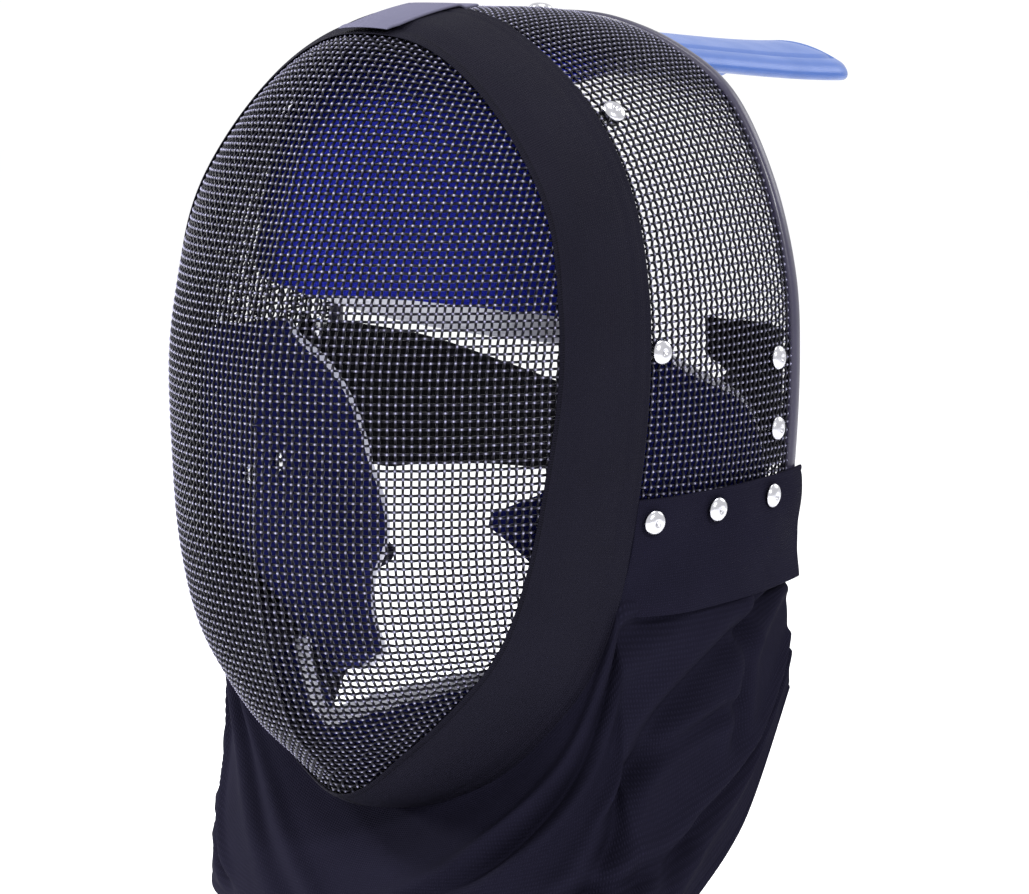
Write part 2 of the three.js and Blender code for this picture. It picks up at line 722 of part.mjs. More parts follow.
// Chin pad: the cup behind the lower mesh, low at the middle and rising to both sides
function chinPadFace(u, v) {
  const across = 2 * u - 1;
  const away = Math.abs(across);
  const top = new THREE.Vector3(
    CHIN_PAD_HALF_WIDTH * across,
    CHIN_PAD_FRONT + CHIN_PAD_SWEEP * away ** CHIN_PAD_SWEEP_POWER,
    CHIN_PAD_LEVEL + CHIN_PAD_RISE * away ** CHIN_PAD_RISE_POWER,
  );
  const seatTurn = 1 - CHIN_PAD_TURN * away;
  const seatBehind = mix(CHIN_PAD_SEAT_FRONT, CHIN_PAD_SEAT_BACK, away);
  const seat = basket(seatTurn, seatBehind, -WIRE_CLOTH - 2 * SEAT_CLEARANCE);
  if (across < 0) seat.x *= -1;
  return top.lerp(seat, v);
}

function chinPad() {
  const inner = (u, v) => {
    const thickness = padThickness(u, v, PAD_THICKNESS, PAD_EDGE_THICKNESS);
    const normal = faceNormal(chinPadFace, u, v);
    return chinPadFace(u, v).addScaledVector(normal, thickness);
  };
  return sheet(14, 4, chinPadFace, inner, { flip: true });
}

// Back strap: the wide webbing, flat on both walls and bowed round the back of the head
function strapPoint(share, rise, off) {
  const stations = STRAP_ROWS.map((row) => {
    const level = mix(row.bottom, row.top, rise) * FACE_ABOVE;
    const back = RIM_DEPTH + row.behind;
    const off = -WIRE_CLOTH - SEAT_CLEARANCE - STRAP_CLOTH / 2 - row.inset;
    if (row.wall) return wall(row.wall, back, level, off);
    return new THREE.Vector3(row.out * RIM_HALF_WIDTH, back, level);
  });
  const last = stations.length - 1;
  const at = (place) => {
    const row = THREE.MathUtils.clamp(Math.floor(place), 0, last - 1);
    return stations[row].clone().lerp(stations[row + 1], place - row);
  };
  const place = share * last;
  const run = at(place + 0.3).sub(at(place - 0.3));
  return at(place).addScaledVector(new THREE.Vector3(run.y, -run.x, 0).normalize(), off);
}

function backStrap() {
  const half = STRAP_CLOTH / 2;
  const face = (off) => (u, v) => strapPoint(u, v, off);
  return sheet(2 * (STRAP_ROWS.length - 1), 3, face(half), face(-half));
}

// Tongue: the padded spring that runs from under the crown out behind the head
function tonguePlan(u, v) {
  const back = mix(TONGUE_FRONT, TONGUE_BACK, v);
  const fromEnd = Math.max(0, 1 - (TONGUE_BACK - back) / TONGUE_END_RUN);
  const half = TONGUE_HALF_WIDTH * (1 - TONGUE_END_TAPER * fromEnd ** 3);
  return new THREE.Vector2(half * (2 * u - 1), back);
}

function tongueTop(u, v) {
  const plan = tonguePlan(u, v);
  const crown = bare(0, rimBehind(0)).z - WIRE_CLOTH - CLEARANCE - BINDING_WALL - SEAT_CLEARANCE;
  const away = (2 * u - 1) ** 2;
  const level = crown - TONGUE_DROP * ease(v) - TONGUE_ARCH * away;
  return new THREE.Vector3(plan.x, plan.y, level);
}

function tongue() {
  const under = (u, v) => {
    const sideways = (2 * u - 1) ** 4;
    const endways = (2 * v - 1) ** 8;
    const thickness = mix(TONGUE_PADDING, TONGUE_EDGE, Math.max(sideways, endways));
    return tongueTop(u, v).add(new THREE.Vector3(0, 0, -thickness));
  };
  return sheet(8, 12, tongueTop, under);
}

// Rivet: a domed head, a shank and a washer, turned about its own axis, with the head's underside at zero
function rivetGeometry(grip) {
  const profile = [
    [0, -grip - WASHER_THICKNESS],
    [WASHER_RADIUS, -grip - WASHER_THICKNESS],
    [WASHER_RADIUS, -grip],
    [RIVET_SHANK_RADIUS, -grip],
    [RIVET_SHANK_RADIUS, 0],
    [RIVET_HEAD_RADIUS, 0],
    [RIVET_HEAD_RADIUS * RIVET_SHOULDER_OUT, RIVET_HEAD_HEIGHT * RIVET_SHOULDER_UP],
    [0, RIVET_HEAD_HEIGHT],
  ].map(([radius, height]) => new THREE.Vector2(radius, height));
  return new THREE.LatheGeometry(profile, ROUND_SIDES);
}

const YOKE_STACK = 2 * CLEARANCE + BINDING_WALL + YOKE_CLOTH;
const PAD_STACK = WIRE_CLOTH + SEAT_CLEARANCE + STRAP_CLOTH + CLEARANCE + PAD_THICKNESS;

function rivetSeats(through) {
  const over = through.includes("yoke") ? YOKE_STACK : 0;
  let under = WIRE_CLOTH;
  if (through.includes("back_strap")) under += SEAT_CLEARANCE + STRAP_CLOTH + STRAP_INSET;
  if (through.includes("side_pad")) under = PAD_STACK;
  if (through.includes("tongue")) under += TONGUE_SINK + TONGUE_PADDING;
  return { head: over + RIVET_CLEARANCE, washer: under + RIVET_CLEARANCE };
}

const rivets = [];

function placeRivet(name, centre, normal, through, hand) {
  const { head, washer } = rivetSeats(through);
  const mesh = new THREE.Mesh(rivetGeometry(head + washer), nickel);
  mesh.name = name;
  mesh.position.copy(centre).addScaledVector(normal, head);
  mesh.quaternion.setFromUnitVectors(UP, normal);
  rivets.push(mesh);
  const hole = bar(centre, normal, RIVET_SHANK_RADIUS + SEAT_CLEARANCE, washer + head + WASHER_THICKNESS);
  for (const layer of through) {
    const piece = ["yoke", "side_pad"].includes(layer) ? `${layer}_${hand}` : layer;
    solids.set(piece, solids.get(piece).subtract(hole));
  }
}

function addSolid(name, geometry) {
  solids.set(name, solidOf(geometry));
}

addSolid("front_mesh", frontMesh());
addSolid("side_mesh", sideMesh());
addSolid("trim_band", trimBand());
addSolid("trim_patch", trimPatch());
addSolid("rim_binding", rimBinding());
addSolid("yoke_left", yoke(1));
addSolid("yoke_right", yoke(-1));
addSolid("bib", bib());
addSolid("crown_pad", crownPad());
addSolid("side_pad_left", sidePad(1));
addSolid("side_pad_right", sidePad(-1));
addSolid("chin_pad", chinPad());
addSolid("back_strap", backStrap());
addSolid("tongue", tongue());

for (const [side, hand] of [[1, "left"], [-1, "right"]]) {
  for (const row of RIVET_ROWS) {
    const up = row.up * FACE_ABOVE;
    const first = seamDepth(up) + TRIM_WIDTH + RIVET_BEHIND_TRIM;
    const back = mix(first, RIM_DEPTH - RIVET_BEFORE_RIM, row.run) + row.further;
    const name = `rivet_${row.name}_${hand}`;
    placeRivet(name, wall(side, back, up, 0), wallNormal(side, back, up), row.through, hand);
  }
}
const crownBehind = TONGUE_RIVET_BACK - seamDepth(FACE_ABOVE);
placeRivet("rivet_tongue", bare(0, crownBehind), outward(0, crownBehind), ["side_mesh", "tongue"]);

const finishes = {
  front_mesh: blackWire,
  side_mesh: blackWire,
  trim_band: blackTape,
  trim_patch: greyPatch,
  rim_binding: greyBinding,
  yoke_left: navyCotton,
  yoke_right: navyCotton,
  bib: navyCotton,
  crown_pad: royalLining,
  side_pad_left: royalLining,
  side_pad_right: royalLining,
  chin_pad: royalLining,
  back_strap: blackWebbing,
  tongue: blueLeatherette,
};

const mask = new THREE.Group();
for (const [name, solid] of solids) {
  const mesh = new THREE.Mesh(geometryFrom(solid), finishes[name]);
  mesh.name = name;
  mask.add(mesh);
}
mask.add(...rivets);

// The origin is the head seat: straight under the crown pad at its middle
const seatBehind = HEAD_SEAT_BACK - seamDepth(FACE_ABOVE);
const seat = basket(0, seatBehind, -WIRE_CLOTH - CLEARANCE - SEAT_CLEARANCE - CROWN_PAD_THICKNESS);
mask.position.set(0, -seat.y, -seat.z);

const fencingMask = new THREE.Group();
fencingMask.add(mask);

export default fencingMask;
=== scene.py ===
"""Fencing mask: woven wire basket, trim, bib, pads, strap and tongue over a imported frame.

Surfaces are worked out in millimetres from the middle of the face (+Z up, -Y the way the face looks)
and moved to the head seat, in metres, when a mesh is made.
"""
import math

import bpy
import numpy as np
from bpy.props import FloatProperty, FloatVectorProperty, PointerProperty
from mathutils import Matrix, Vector


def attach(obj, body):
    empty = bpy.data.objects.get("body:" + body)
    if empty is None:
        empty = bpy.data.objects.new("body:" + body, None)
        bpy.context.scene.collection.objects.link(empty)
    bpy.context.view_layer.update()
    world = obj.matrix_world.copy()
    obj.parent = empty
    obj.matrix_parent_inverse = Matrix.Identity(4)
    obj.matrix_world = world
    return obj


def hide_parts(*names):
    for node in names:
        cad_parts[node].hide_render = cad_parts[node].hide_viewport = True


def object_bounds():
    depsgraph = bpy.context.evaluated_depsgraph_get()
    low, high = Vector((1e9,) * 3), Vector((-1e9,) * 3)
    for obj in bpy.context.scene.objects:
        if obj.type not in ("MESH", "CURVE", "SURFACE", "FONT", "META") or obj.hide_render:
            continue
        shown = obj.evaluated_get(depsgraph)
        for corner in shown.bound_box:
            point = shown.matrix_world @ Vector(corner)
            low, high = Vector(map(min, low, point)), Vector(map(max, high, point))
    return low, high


bl_info = {
    "name": "Fencing mask",
    "version": (1, 0, 0),
    "blender": (4, 5, 0),
    "location": "View3D > Sidebar > Mask",
    "description": "Builds a fencing mask over its solid model",
    "category": "Add Mesh",
}

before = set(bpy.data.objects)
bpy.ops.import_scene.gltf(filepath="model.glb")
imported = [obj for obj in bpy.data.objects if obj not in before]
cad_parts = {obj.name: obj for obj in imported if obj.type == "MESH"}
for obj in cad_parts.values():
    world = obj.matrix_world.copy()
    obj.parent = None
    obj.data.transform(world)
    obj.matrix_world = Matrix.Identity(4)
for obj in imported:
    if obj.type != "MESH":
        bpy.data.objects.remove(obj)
CAD_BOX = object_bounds()

# Basket outlines: seam, trim's rear edge and rear rim, as shares from crown to chin of half, above and below,
# and the ridge down the middle of the face. All are in millimetres.
FACE = {
    "half": 92.2, "above": 149.3, "below": 137.4,
    "out": [0, .267, .53, .771, .922, .985, 1, .957, .895, .795, .635, .335, 0],
    "up": [1, .9725, .871, .709, .541, .335, .147, -.097, -.325, -.524, -.673, -.859, -1],
}
BAND = {
    "half": 105.9, "above": 155.6, "below": 145.4,
    "out": [0, .255, .506, .747, .903, .982, 1, .984, .935, .857, .7, .388, 0],
    "up": [1, .983, .893, .743, .563, .346, .141, -.096, -.344, -.543, -.715, -.911, -1],
}
RIM = {
    "half": 112.6, "above": 154.0, "below": 137.4,
    "out": [0, .249, .506, .728, .888, .98, 1, .985, .95, .897, .764, .426, 0],
    "up": [1, .986, .922, .8095, .605, .371, .156, -.109, -.378, -.582, -.764, -.946, -1.02],
}
RIDGE = {
    "up": [1, .965, .86, .72, .57, .4, .2, 0, -.27, -.5, -.66, -.79, -.9, -.95, -1],
    "reach": [0, .27, .49, .67, .8, .935, 1, .985, .955, .84, .69, .52, .24, .1, 0],
}
RIDGE_REACH = 62.0
SEAM_DEPTH = 5.0
SEAM_LEAN = 0.0785
RIM_DEPTH = 134.0
FACE_CENTRE_LEVEL = 8.0
CHEEK_SLOPE = 0.31
FRONT_SPAN = 100.0
JAW_TURN = 17 / 26
CLEARANCE = 0.3
SEAT_CLEARANCE = 0.45
WIRE_CLOTH = 2.0
TRIM_WIDTH = 35.2
TRIM_LIP = 1.0
TRIM_CLOTH = 2.0
BINDING_WALL = 1.2
STRAP_CLOTH = 2.0
YOKE_CLOTH = 2.0
CROWN_PAD_THICKNESS = 13.0
HEAD_SEAT_BACK = 80.0

# Basket surface


def along(values, share, start=1, end=1):
    """A smooth curve through a column of a table; start and end say how it is mirrored there."""
    rows = np.asarray(values, float)
    last = len(rows) - 1
    rows = np.concatenate([[start * rows[1]], rows, [end * rows[-2]]])
    place = np.clip(share, 0, 1) * last
    row = np.minimum(place.astype(int), last - 1)
    return cubic(rows, row, place - row)


def mix(a, b, share):
    """The value between a and b at a share of the way."""
    return a + (b - a) * share


def cubic(rows, row, f):
    """The Catmull-Rom curve through rows, a share f of the way on from a row."""
    a, b, c, d = rows[row], rows[row + 1], rows[row + 2], rows[row + 3]
    return 0.5 * (2 * b + (c - a) * f + (2 * a - 5 * b + 4 * c - d) * f ** 2 + (3 * b - a - 3 * c + d) * f ** 3)


def dip(away, depth, half):
    """A groove of a depth along a middle line, fading over its half width; a negative depth is a ridge."""
    return -depth * np.exp(-(away / half) ** 2)


def ease(share):
    """A share of the way with a slow start and end: 3 s squared less 2 s cubed."""
    share = np.clip(share, 0, 1)
    return share * share * (3 - 2 * share)


def outline(rows, turn):
    """Half outline at a turn: 0 at the crown, 1 at the chin, negative on the wearer's right."""
    share = np.abs(turn)
    up = along(rows["up"], share)
    out = along(rows["out"], share, -1, -1) * rows["half"] * np.sign(turn)
    return out, np.where(up > 0, up * rows["above"], up * rows["below"])


def seam_depth(level):
    """How far back the seam lies at a height, because it leans."""
    return SEAM_DEPTH + SEAM_LEAN * level


# The seam and the ridge at fine steps, read by height
_share = np.linspace(0, 1, 401)
_seam_out, _seam_up = outline(FACE, _share)
_up = along(RIDGE["up"], _share)
_ridge_up = np.where(_up > 0, _up * FACE["above"], _up * FACE["below"])
_ridge_reach = along(RIDGE["reach"], _share, -1, -1) * RIDGE_REACH


def front(turn, share):
    """The dome over the face: its reach falls from the crease to the seam."""
    seam_out, seam_up = outline(FACE, turn)
    out = share * seam_out
    level = mix(FACE_CENTRE_LEVEL, seam_up, share)
    t = np.abs(out) / np.maximum(np.interp(-level, -_seam_up, _seam_out), 0.001)
    reach = np.interp(-level, -_ridge_up, _ridge_reach)
    fall = CHEEK_SLOPE * t + (1 - CHEEK_SLOPE) * t ** 3
    return np.stack([out, seam_depth(level) - reach * (1 - fall), level], -1)


def rim_behind(turn):
    """The distance from the seam back to the rim at a turn."""
    return RIM_DEPTH - seam_depth(outline(FACE, turn)[1])


def side(turn, behind):
    """The crown and cheeks: a bow through the seam, the trim's rear edge and the rim."""
    seam, band, rim = outline(FACE, turn), outline(BAND, turn), outline(RIM, turn)
    whole = rim_behind(turn)
    bow = []
    for k in (0, 1):
        slope = (band[k] - seam[k]) / TRIM_WIDTH
        bend = ((rim[k] - band[k]) / (whole - TRIM_WIDTH) - slope) / whole
        bow.append(seam[k] + slope * behind + bend * behind * (behind - TRIM_WIDTH))
    return np.stack([bow[0], seam_depth(seam[1]) + behind, bow[1]], -1)


def skin(turn, behind):
    """The whole basket: the dome ahead of the seam and the side behind it."""
    turn, behind = np.broadcast_arrays(np.asarray(turn, float), np.asarray(behind, float))
    ahead = front(turn, 1 + np.minimum(behind, 0) / FRONT_SPAN)
    return np.where((behind < 0)[..., None], ahead, side(turn, np.maximum(behind, 0)))


def unit(v):
    """Vectors at length 1."""
    return v / np.maximum(np.linalg.norm(v, axis=-1, keepdims=True), 1e-12)


def outward(turn, behind):
    """The outward normal of the basket, from its steps round and back."""
    step, reach = 0.001, 0.3
    across = skin(turn + step, behind) - skin(turn - step, behind)
    back = skin(turn, behind + reach) - skin(turn, behind - reach)
    return unit(np.cross(across, back))


def basket(turn, behind, off=0.0):
    """A point at a distance off the basket, negative towards the head."""
    turn, behind = np.broadcast_arrays(np.asarray(turn, float), np.asarray(behind, float))
    off = np.asarray(off, float)
    if off.ndim:
        off = off[..., None]
    return skin(turn, behind) + outward(turn, behind) * off


def turn_at(level, behind):
    """The turn at which the side of the basket reaches a height, by halving."""
    level, behind = np.broadcast_arrays(np.asarray(level, float), np.asarray(behind, float))
    low, high = np.full(level.shape, 0.03), np.full(level.shape, 0.97)
    for _ in range(30):
        middle = (low + high) / 2
        above = side(middle, behind)[..., 2] > level
        low, high = np.where(above, middle, low), np.where(above, high, middle)
    return (low + high) / 2


def wall(hand, back, level, off):
    """A point on one side wall by its depth and height; hand is 1 on the wearer's left."""
    level, back = np.broadcast_arrays(np.asarray(level, float), np.asarray(back, float))
    behind = back - seam_depth(level)
    turn = turn_at(level, behind)
    behind = back - seam_depth(outline(FACE, turn)[1])
    turn = turn_at(level, behind)
    point = basket(turn, behind, off)
    point[..., 0] *= hand
    return point


_seat_behind = HEAD_SEAT_BACK - seam_depth(FACE["above"])
SEAT = basket(np.array(0.0), _seat_behind, -WIRE_CLOTH - CLEARANCE - SEAT_CLEARANCE - CROWN_PAD_THICKNESS)

# Meshes


def add(name, data):
    """A new object in the scene, holding a mesh, a camera or a light."""
    obj = bpy.data.objects.new(name, data)
    bpy.context.scene.collection.objects.link(obj)
    return obj


def make_mesh(name, points, faces, uv):
    """A smooth mesh object from points and a uv per point in millimetres, with its faces turned outwards.

    The sum of the corners' triple products is six times the volume, and is negative when the faces point in.
    """
    points = (np.asarray(points, float) - SEAT) / 1000
    faces = np.asarray(faces, np.int32)
    corners = points[faces]
    if np.einsum("ij,inj->", corners[:, 0], np.cross(corners[:, 1:-1], corners[:, 2:])) < 0:
        faces = faces[:, ::-1]
    count, sides = faces.shape
    mesh = bpy.data.meshes.new(name)
    mesh.vertices.add(len(points))
    mesh.vertices.foreach_set("co", points.astype(np.float32).ravel())
    mesh.loops.add(faces.size)
    mesh.loops.foreach_set("vertex_index", faces.ravel())
    mesh.polygons.add(count)
    mesh.polygons.foreach_set("loop_start", np.arange(0, faces.size, sides, dtype=np.int32))
    mesh.polygons.foreach_set("loop_total", np.full(count, sides, np.int32))
    layer = mesh.uv_layers.new(name="UVMap")
    layer.data.foreach_set("uv", (np.asarray(uv, float)[faces.ravel()] / 1000).astype(np.float32).ravel())
    mesh.update(calc_edges=True)
    mesh.validate()
    mesh.polygons.foreach_set("use_smooth", np.full(len(mesh.polygons), True))
    return add(name, mesh)


def quads(index, ring=False):
    """Quads between the neighbours of a grid of vertex numbers, closed across its rows where it is a ring."""
    if ring:
        index = np.concatenate([index, index[:, :1]], 1)
    return np.stack([index[:-1, :-1], index[:-1, 1:], index[1:, 1:], index[1:, :-1]], -1).reshape(-1, 4)


def grid_normal(points):
    """Normals of a grid of points, from its two neighbours each way."""
    return unit(np.cross(np.gradient(points, axis=1), np.gradient(points, axis=0)))


def run_length(path):
    """How far along a line of points each point is."""
    return np.concatenate([[0], np.cumsum(np.linalg.norm(np.diff(path, axis=0), axis=-1))])


def grid_uv(points):
    """Lengths along both ways of a grid, in millimetres, taken along its middle lines."""
    rows, columns = points.shape[:2]
    return np.stack(np.meshgrid(run_length(points[rows // 2]), run_length(points[:, columns // 2])), -1)


def rounded(lines, radius):
    """How full a rounded edge is at each line: a quarter circle from 0 at the border to 1 a radius inwards."""
    gap = np.minimum(lines - lines[0], lines[-1] - lines)
    share = np.clip(gap / radius, 0, 1)
    return np.sqrt(1 - (1 - share) ** 2)


def edge_lines(start, end, step, radius):
    """Lines from start to end in millimetres, closer together within a radius of both ends."""
    near = np.array([0, .04, .14, .3, .5, .75, 1.0]) * radius
    count = max(2, round((end - start - 2 * radius) / step))
    inner = np.linspace(start + radius, end - radius, count + 1)
    return np.concatenate([start + near[:-1], inner, (end - near[:-1])[::-1]])


def cloth_grid(spans, steps, radius):
    """Shares across and down a cloth of two spans, and how full its rounded border is."""
    u, v = (edge_lines(0.0, span, step, radius) / span for span, step in zip(spans, steps))
    full = rounded(v, radius / spans[1])[:, None] * rounded(u, radius / spans[0])[None]
    return *np.meshgrid(u, v), full


def slab(name, base, normal, full, thickness, relief=0.0, back_relief=0.0, middle=0.0, ring=False):
    """A closed sheet of cloth: two faces either side of a base grid, rounded where full falls to 0.

    thickness and middle are millimetres along the normal. The relief raises the first face, and a share of it,
    back_relief, the second.
    """
    rows, columns = base.shape[:2]
    half = (thickness / 2 * full)[..., None]
    outer = base + normal * (middle + (relief * full)[..., None]) + normal * half
    inner = base + normal * (middle + (back_relief * relief * full)[..., None]) - normal * half
    first = np.arange(rows * columns).reshape(rows, columns)
    second = np.where(full <= 1e-9, first, first + rows * columns)
    faces = np.concatenate([quads(first, ring), quads(second, ring)[:, ::-1]])
    points = np.concatenate([outer.reshape(-1, 3), inner.reshape(-1, 3)])
    uv = np.tile(grid_uv(base).reshape(-1, 2), (2, 1))
    used, compact = np.unique(faces, return_inverse=True)
    return make_mesh(name, points[used], compact.reshape(-1, 4), uv[used])


def tubes(name, paths, radius, sides=6, flat=1.0):
    """Round or flattened tubes: each path is (points, normals, mark), and flat squeezes along the normal.

    The uv holds the mark along the tube and how far each side faces outwards, both from 0 to 1.
    """
    points, faces, uv, start = [], [], [], 0
    angle = 2 * np.pi * (np.arange(sides) + 0.5) / sides
    for path, normal, mark in paths:
        run = unit(np.gradient(path, axis=0))
        across = unit(np.cross(run, normal))
        up = np.cross(across, run)
        ring = (across[:, None] * np.cos(angle)[None, :, None] +
                up[:, None] * (flat * np.sin(angle))[None, :, None]) * np.reshape(radius, (-1, 1, 1))
        tube = path[:, None] + ring
        index = start + np.arange(tube.shape[0] * sides).reshape(-1, sides)
        faces.append(quads(index, True))
        points.append(tube.reshape(-1, 3))
        facing = (np.sin(angle) + 1) / 2
        uv.append(np.stack([np.repeat(mark, sides), np.tile(facing, len(path))], -1) * 1000)
        start += tube.shape[0] * sides
        for row in (0, -1):
            points.append(path[row][None])
            uv.append(np.array([[0.0, 0.0]]))
            centre = np.full(sides, start)
            cap = np.stack([index[row], np.roll(index[row], -1), centre, centre], -1)
            faces.append(cap if row == -1 else cap[:, [1, 0, 2, 3]])
            start += 1
    return tri_mesh(name, np.concatenate(points), np.concatenate(faces), np.concatenate(uv))


def tri_mesh(name, points, faces, uv):
    """A mesh of triangles from quads, some of which are triangles with a repeated last corner."""
    single = faces[:, 2] == faces[:, 3]
    whole, cut = faces[~single], faces[single][:, :3]
    halves = np.concatenate([whole[:, [0, 1, 2]], whole[:, [0, 2, 3]], cut])
    return make_mesh(name, points, halves, uv)


# Shader groups


def new_group(name, inputs, outputs):
    """A shader group with its sockets: its node tree, its input node, its output node and its coordinates."""
    group = bpy.data.node_groups.new(name, "ShaderNodeTree")
    for label, kind, value in inputs:
        socket = group.interface.new_socket(label, in_out="INPUT", socket_type=kind)
        socket.default_value = value
    for label, kind in outputs:
        group.interface.new_socket(label, in_out="OUTPUT", socket_type=kind)
    nodes = group.nodes
    return group, nodes.new("NodeGroupInput"), nodes.new("NodeGroupOutput"), nodes.new("ShaderNodeTexCoord")


def math_node(group, operation, a, b):
    """One sum of two sockets or numbers."""
    node = group.nodes.new("ShaderNodeMath")
    node.operation = operation
    for socket, value in zip(node.inputs, (a, b)):
        if isinstance(value, (int, float)):
            socket.default_value = value
        else:
            group.links.new(value, socket)
    return node.outputs[0]


def blotches(group, place, scale, detail):
    """Soft noise on the piece's own coordinates."""
    noise = group.nodes.new("ShaderNodeTexNoise")
    noise.inputs["Scale"].default_value = scale
    noise.inputs["Detail"].default_value = detail
    group.links.new(place.outputs["Object"], noise.inputs["Vector"])
    return noise.outputs["Fac"]


def shade(group, factor, source, second, result):
    """The group's colour: its Color and a second colour, mixed by a factor."""
    node = group.nodes.new("ShaderNodeMix")
    node.data_type = "RGBA"
    group.links.new(factor, node.inputs["Factor"])
    group.links.new(source.outputs["Color"], node.inputs["A"])
    group.links.new(source.outputs[second], node.inputs["B"])
    group.links.new(node.outputs["Result"], result.inputs["Color"])


def weave_group(name):
    """Over-and-under threads: the height is the product of two sets of bands.

    The share of the tone is the depth (1 less the height) times the contrast, which paints shade into the hollows of
    the weave, and half of a soft noise, the cloth's own uneven tone.
    """
    group, source, result, place = new_group(name, [
        ("Color", "NodeSocketColor", (0.5, 0.5, 0.5, 1)),
        ("Tone", "NodeSocketColor", (0.4, 0.4, 0.4, 1)),
        ("Threads", "NodeSocketFloat", 500.0),
        ("Contrast", "NodeSocketFloat", 0.3),
    ], [("Color", "NodeSocketColor"), ("Height", "NodeSocketFloat")])
    bands = []
    for direction in ("X", "Y"):
        wave = group.nodes.new("ShaderNodeTexWave")
        wave.bands_direction = direction
        wave.inputs["Distortion"].default_value = 0.6
        wave.inputs["Detail"].default_value = 1.0
        group.links.new(place.outputs["UV"], wave.inputs["Vector"])
        group.links.new(source.outputs["Threads"], wave.inputs["Scale"])
        bands.append(wave.outputs["Fac"])
    height = math_node(group, "MULTIPLY", bands[0], bands[1])
    deep = math_node(group, "SUBTRACT", 1.0, height)
    # painted shade: the darker tone laid in the hollows of the weave, by their depth
    painted_light = math_node(group, "MULTIPLY", deep, source.outputs["Contrast"])
    patchy = math_node(group, "MULTIPLY", blotches(group, place, 38.0, 6.0), 0.5)
    shade(group, math_node(group, "ADD", painted_light, patchy), source, "Tone", result)
    group.links.new(height, result.inputs["Height"])
    return group


def grain_group(name):
    """Fine cells for leatherette and coated metal: the height is the distance within a cell.

    A soft noise is the share of the tone, and moves the roughness by up to 0.1 either way.
    """
    group, source, result, place = new_group(name, [
        ("Color", "NodeSocketColor", (0.5, 0.5, 0.5, 1)),
        ("Tone", "NodeSocketColor", (0.4, 0.4, 0.4, 1)),
        ("Cells", "NodeSocketFloat", 900.0),
        ("Roughness", "NodeSocketFloat", 0.4),
    ], [("Color", "NodeSocketColor"), ("Roughness", "NodeSocketFloat"), ("Height", "NodeSocketFloat")])
    cells = group.nodes.new("ShaderNodeTexVoronoi")
    group.links.new(place.outputs["Object"], cells.inputs["Vector"])
    group.links.new(source.outputs["Cells"], cells.inputs["Scale"])
    blotch = blotches(group, place, 60.0, 5.0)
    shade(group, blotch, source, "Tone", result)
    uneven = math_node(group, "MULTIPLY", blotch, 0.2)
    rough = math_node(group, "ADD", uneven, source.outputs["Roughness"])
    group.links.new(math_node(group, "SUBTRACT", rough, 0.1), result.inputs["Roughness"])
    group.links.new(cells.outputs["Distance"], result.inputs["Height"])
    return group


def shared(name, build):
    """A shader group by name, built the first time that a material asks for it."""
    return bpy.data.node_groups.get(name) or build(name)


def finish(name, kind, color, darker, scale, bump, roughness, gloss=0.02, contrast=0.3, metallic=0.0):
    """A material: a weave or grain group feeds colour, roughness and bump of one shader.

    darker is a share of the colour or a second colour: a weave lays it as painted shade in its hollows, and both
    groups use it as uneven tone. scale counts threads or cells, and bump is in millimetres.
    """
    if name in bpy.data.materials:
        return bpy.data.materials[name]
    material = bpy.data.materials.new(name)
    material.use_nodes = True
    nodes, links = material.node_tree.nodes, material.node_tree.links
    shader = nodes["Principled BSDF"]
    shader.inputs["Roughness"].default_value = roughness
    shader.inputs["Metallic"].default_value = metallic
    shader.inputs["Specular IOR Level"].default_value = gloss
    group = nodes.new("ShaderNodeGroup")
    group.node_tree = shared("Mask weave", weave_group) if kind == "weave" else shared("Mask grain", grain_group)
    tone = darker if isinstance(darker, tuple) else tuple(c * darker for c in color)
    group.inputs["Color"].default_value = (*color, 1)
    group.inputs["Tone"].default_value = (*tone, 1)
    if kind == "weave":
        group.inputs["Threads"].default_value = scale
        group.inputs["Contrast"].default_value = contrast
    else:
        group.inputs["Cells"].default_value = scale
        group.inputs["Roughness"].default_value = roughness
        links.new(group.outputs["Roughness"], shader.inputs["Roughness"])
    relief = nodes.new("ShaderNodeBump")
    relief.inputs["Strength"].default_value = 1.0
    relief.inputs["Distance"].default_value = bump / 1000
    links.new(group.outputs["Color"], shader.inputs["Base Color"])
    links.new(group.outputs["Height"], relief.inputs["Height"])
    links.new(relief.outputs["Normal"], shader.inputs["Normal"])
    return material


def dress(obj, slot, material, *nodes, padded=None):
    """Gives a piece its material and body, and hides the nodes that it stands for; slot is not used."""
    obj.data.materials.append(material)
    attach(obj, "root")
    if nodes:
        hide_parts(*nodes)


# Settings shown in the panel


class MaskSizes(bpy.types.PropertyGroup):
    """Sizes that change the look of the mask."""

    pitch: FloatProperty(name="Wire pitch", description="From wire to wire, mm", default=3.0, min=2.0, max=6.0)
    wire: FloatProperty(name="Wire diameter", description="Thickness of one wire, mm", default=1.12, min=0.5, max=2.0)
    fold: FloatProperty(name="Fold depth", description="Depth of the bib's folds, mm", default=5.4, min=0.0, max=8.0)


class MaskColours(bpy.types.PropertyGroup):
    """Main colours of the mask."""

    wire: FloatVectorProperty(
        name="Wire", description="Coated wire", subtype="COLOR", min=0, max=1, default=(.0056, .0053, .0090))
    trim: FloatVectorProperty(
        name="Trim", description="Tape over the seam", subtype="COLOR", min=0, max=1, default=(.0080, .0074, .0150))
    cloth: FloatVectorProperty(
        name="Bib", description="Cotton of the bib and yokes", subtype="COLOR", min=0, max=1,
        default=(.0098, .0091, .0190))
    lining: FloatVectorProperty(
        name="Lining", description="Cloth of the inner pads", subtype="COLOR", min=0, max=1,
        default=(.0180, .0250, .3400))
    leather: FloatVectorProperty(
        name="Tongue", description="Leatherette of the tongue", subtype="COLOR", min=0, max=1,
        default=(.0300, .0840, .2900))
    binding: FloatVectorProperty(
        name="Binding", description="Tape round the rear rim", subtype="COLOR", min=0, max=1,
        default=(.0300, .0270, .0520))


def sizes():
    """The sizes set in the panel."""
    return bpy.context.scene.mask_sizes


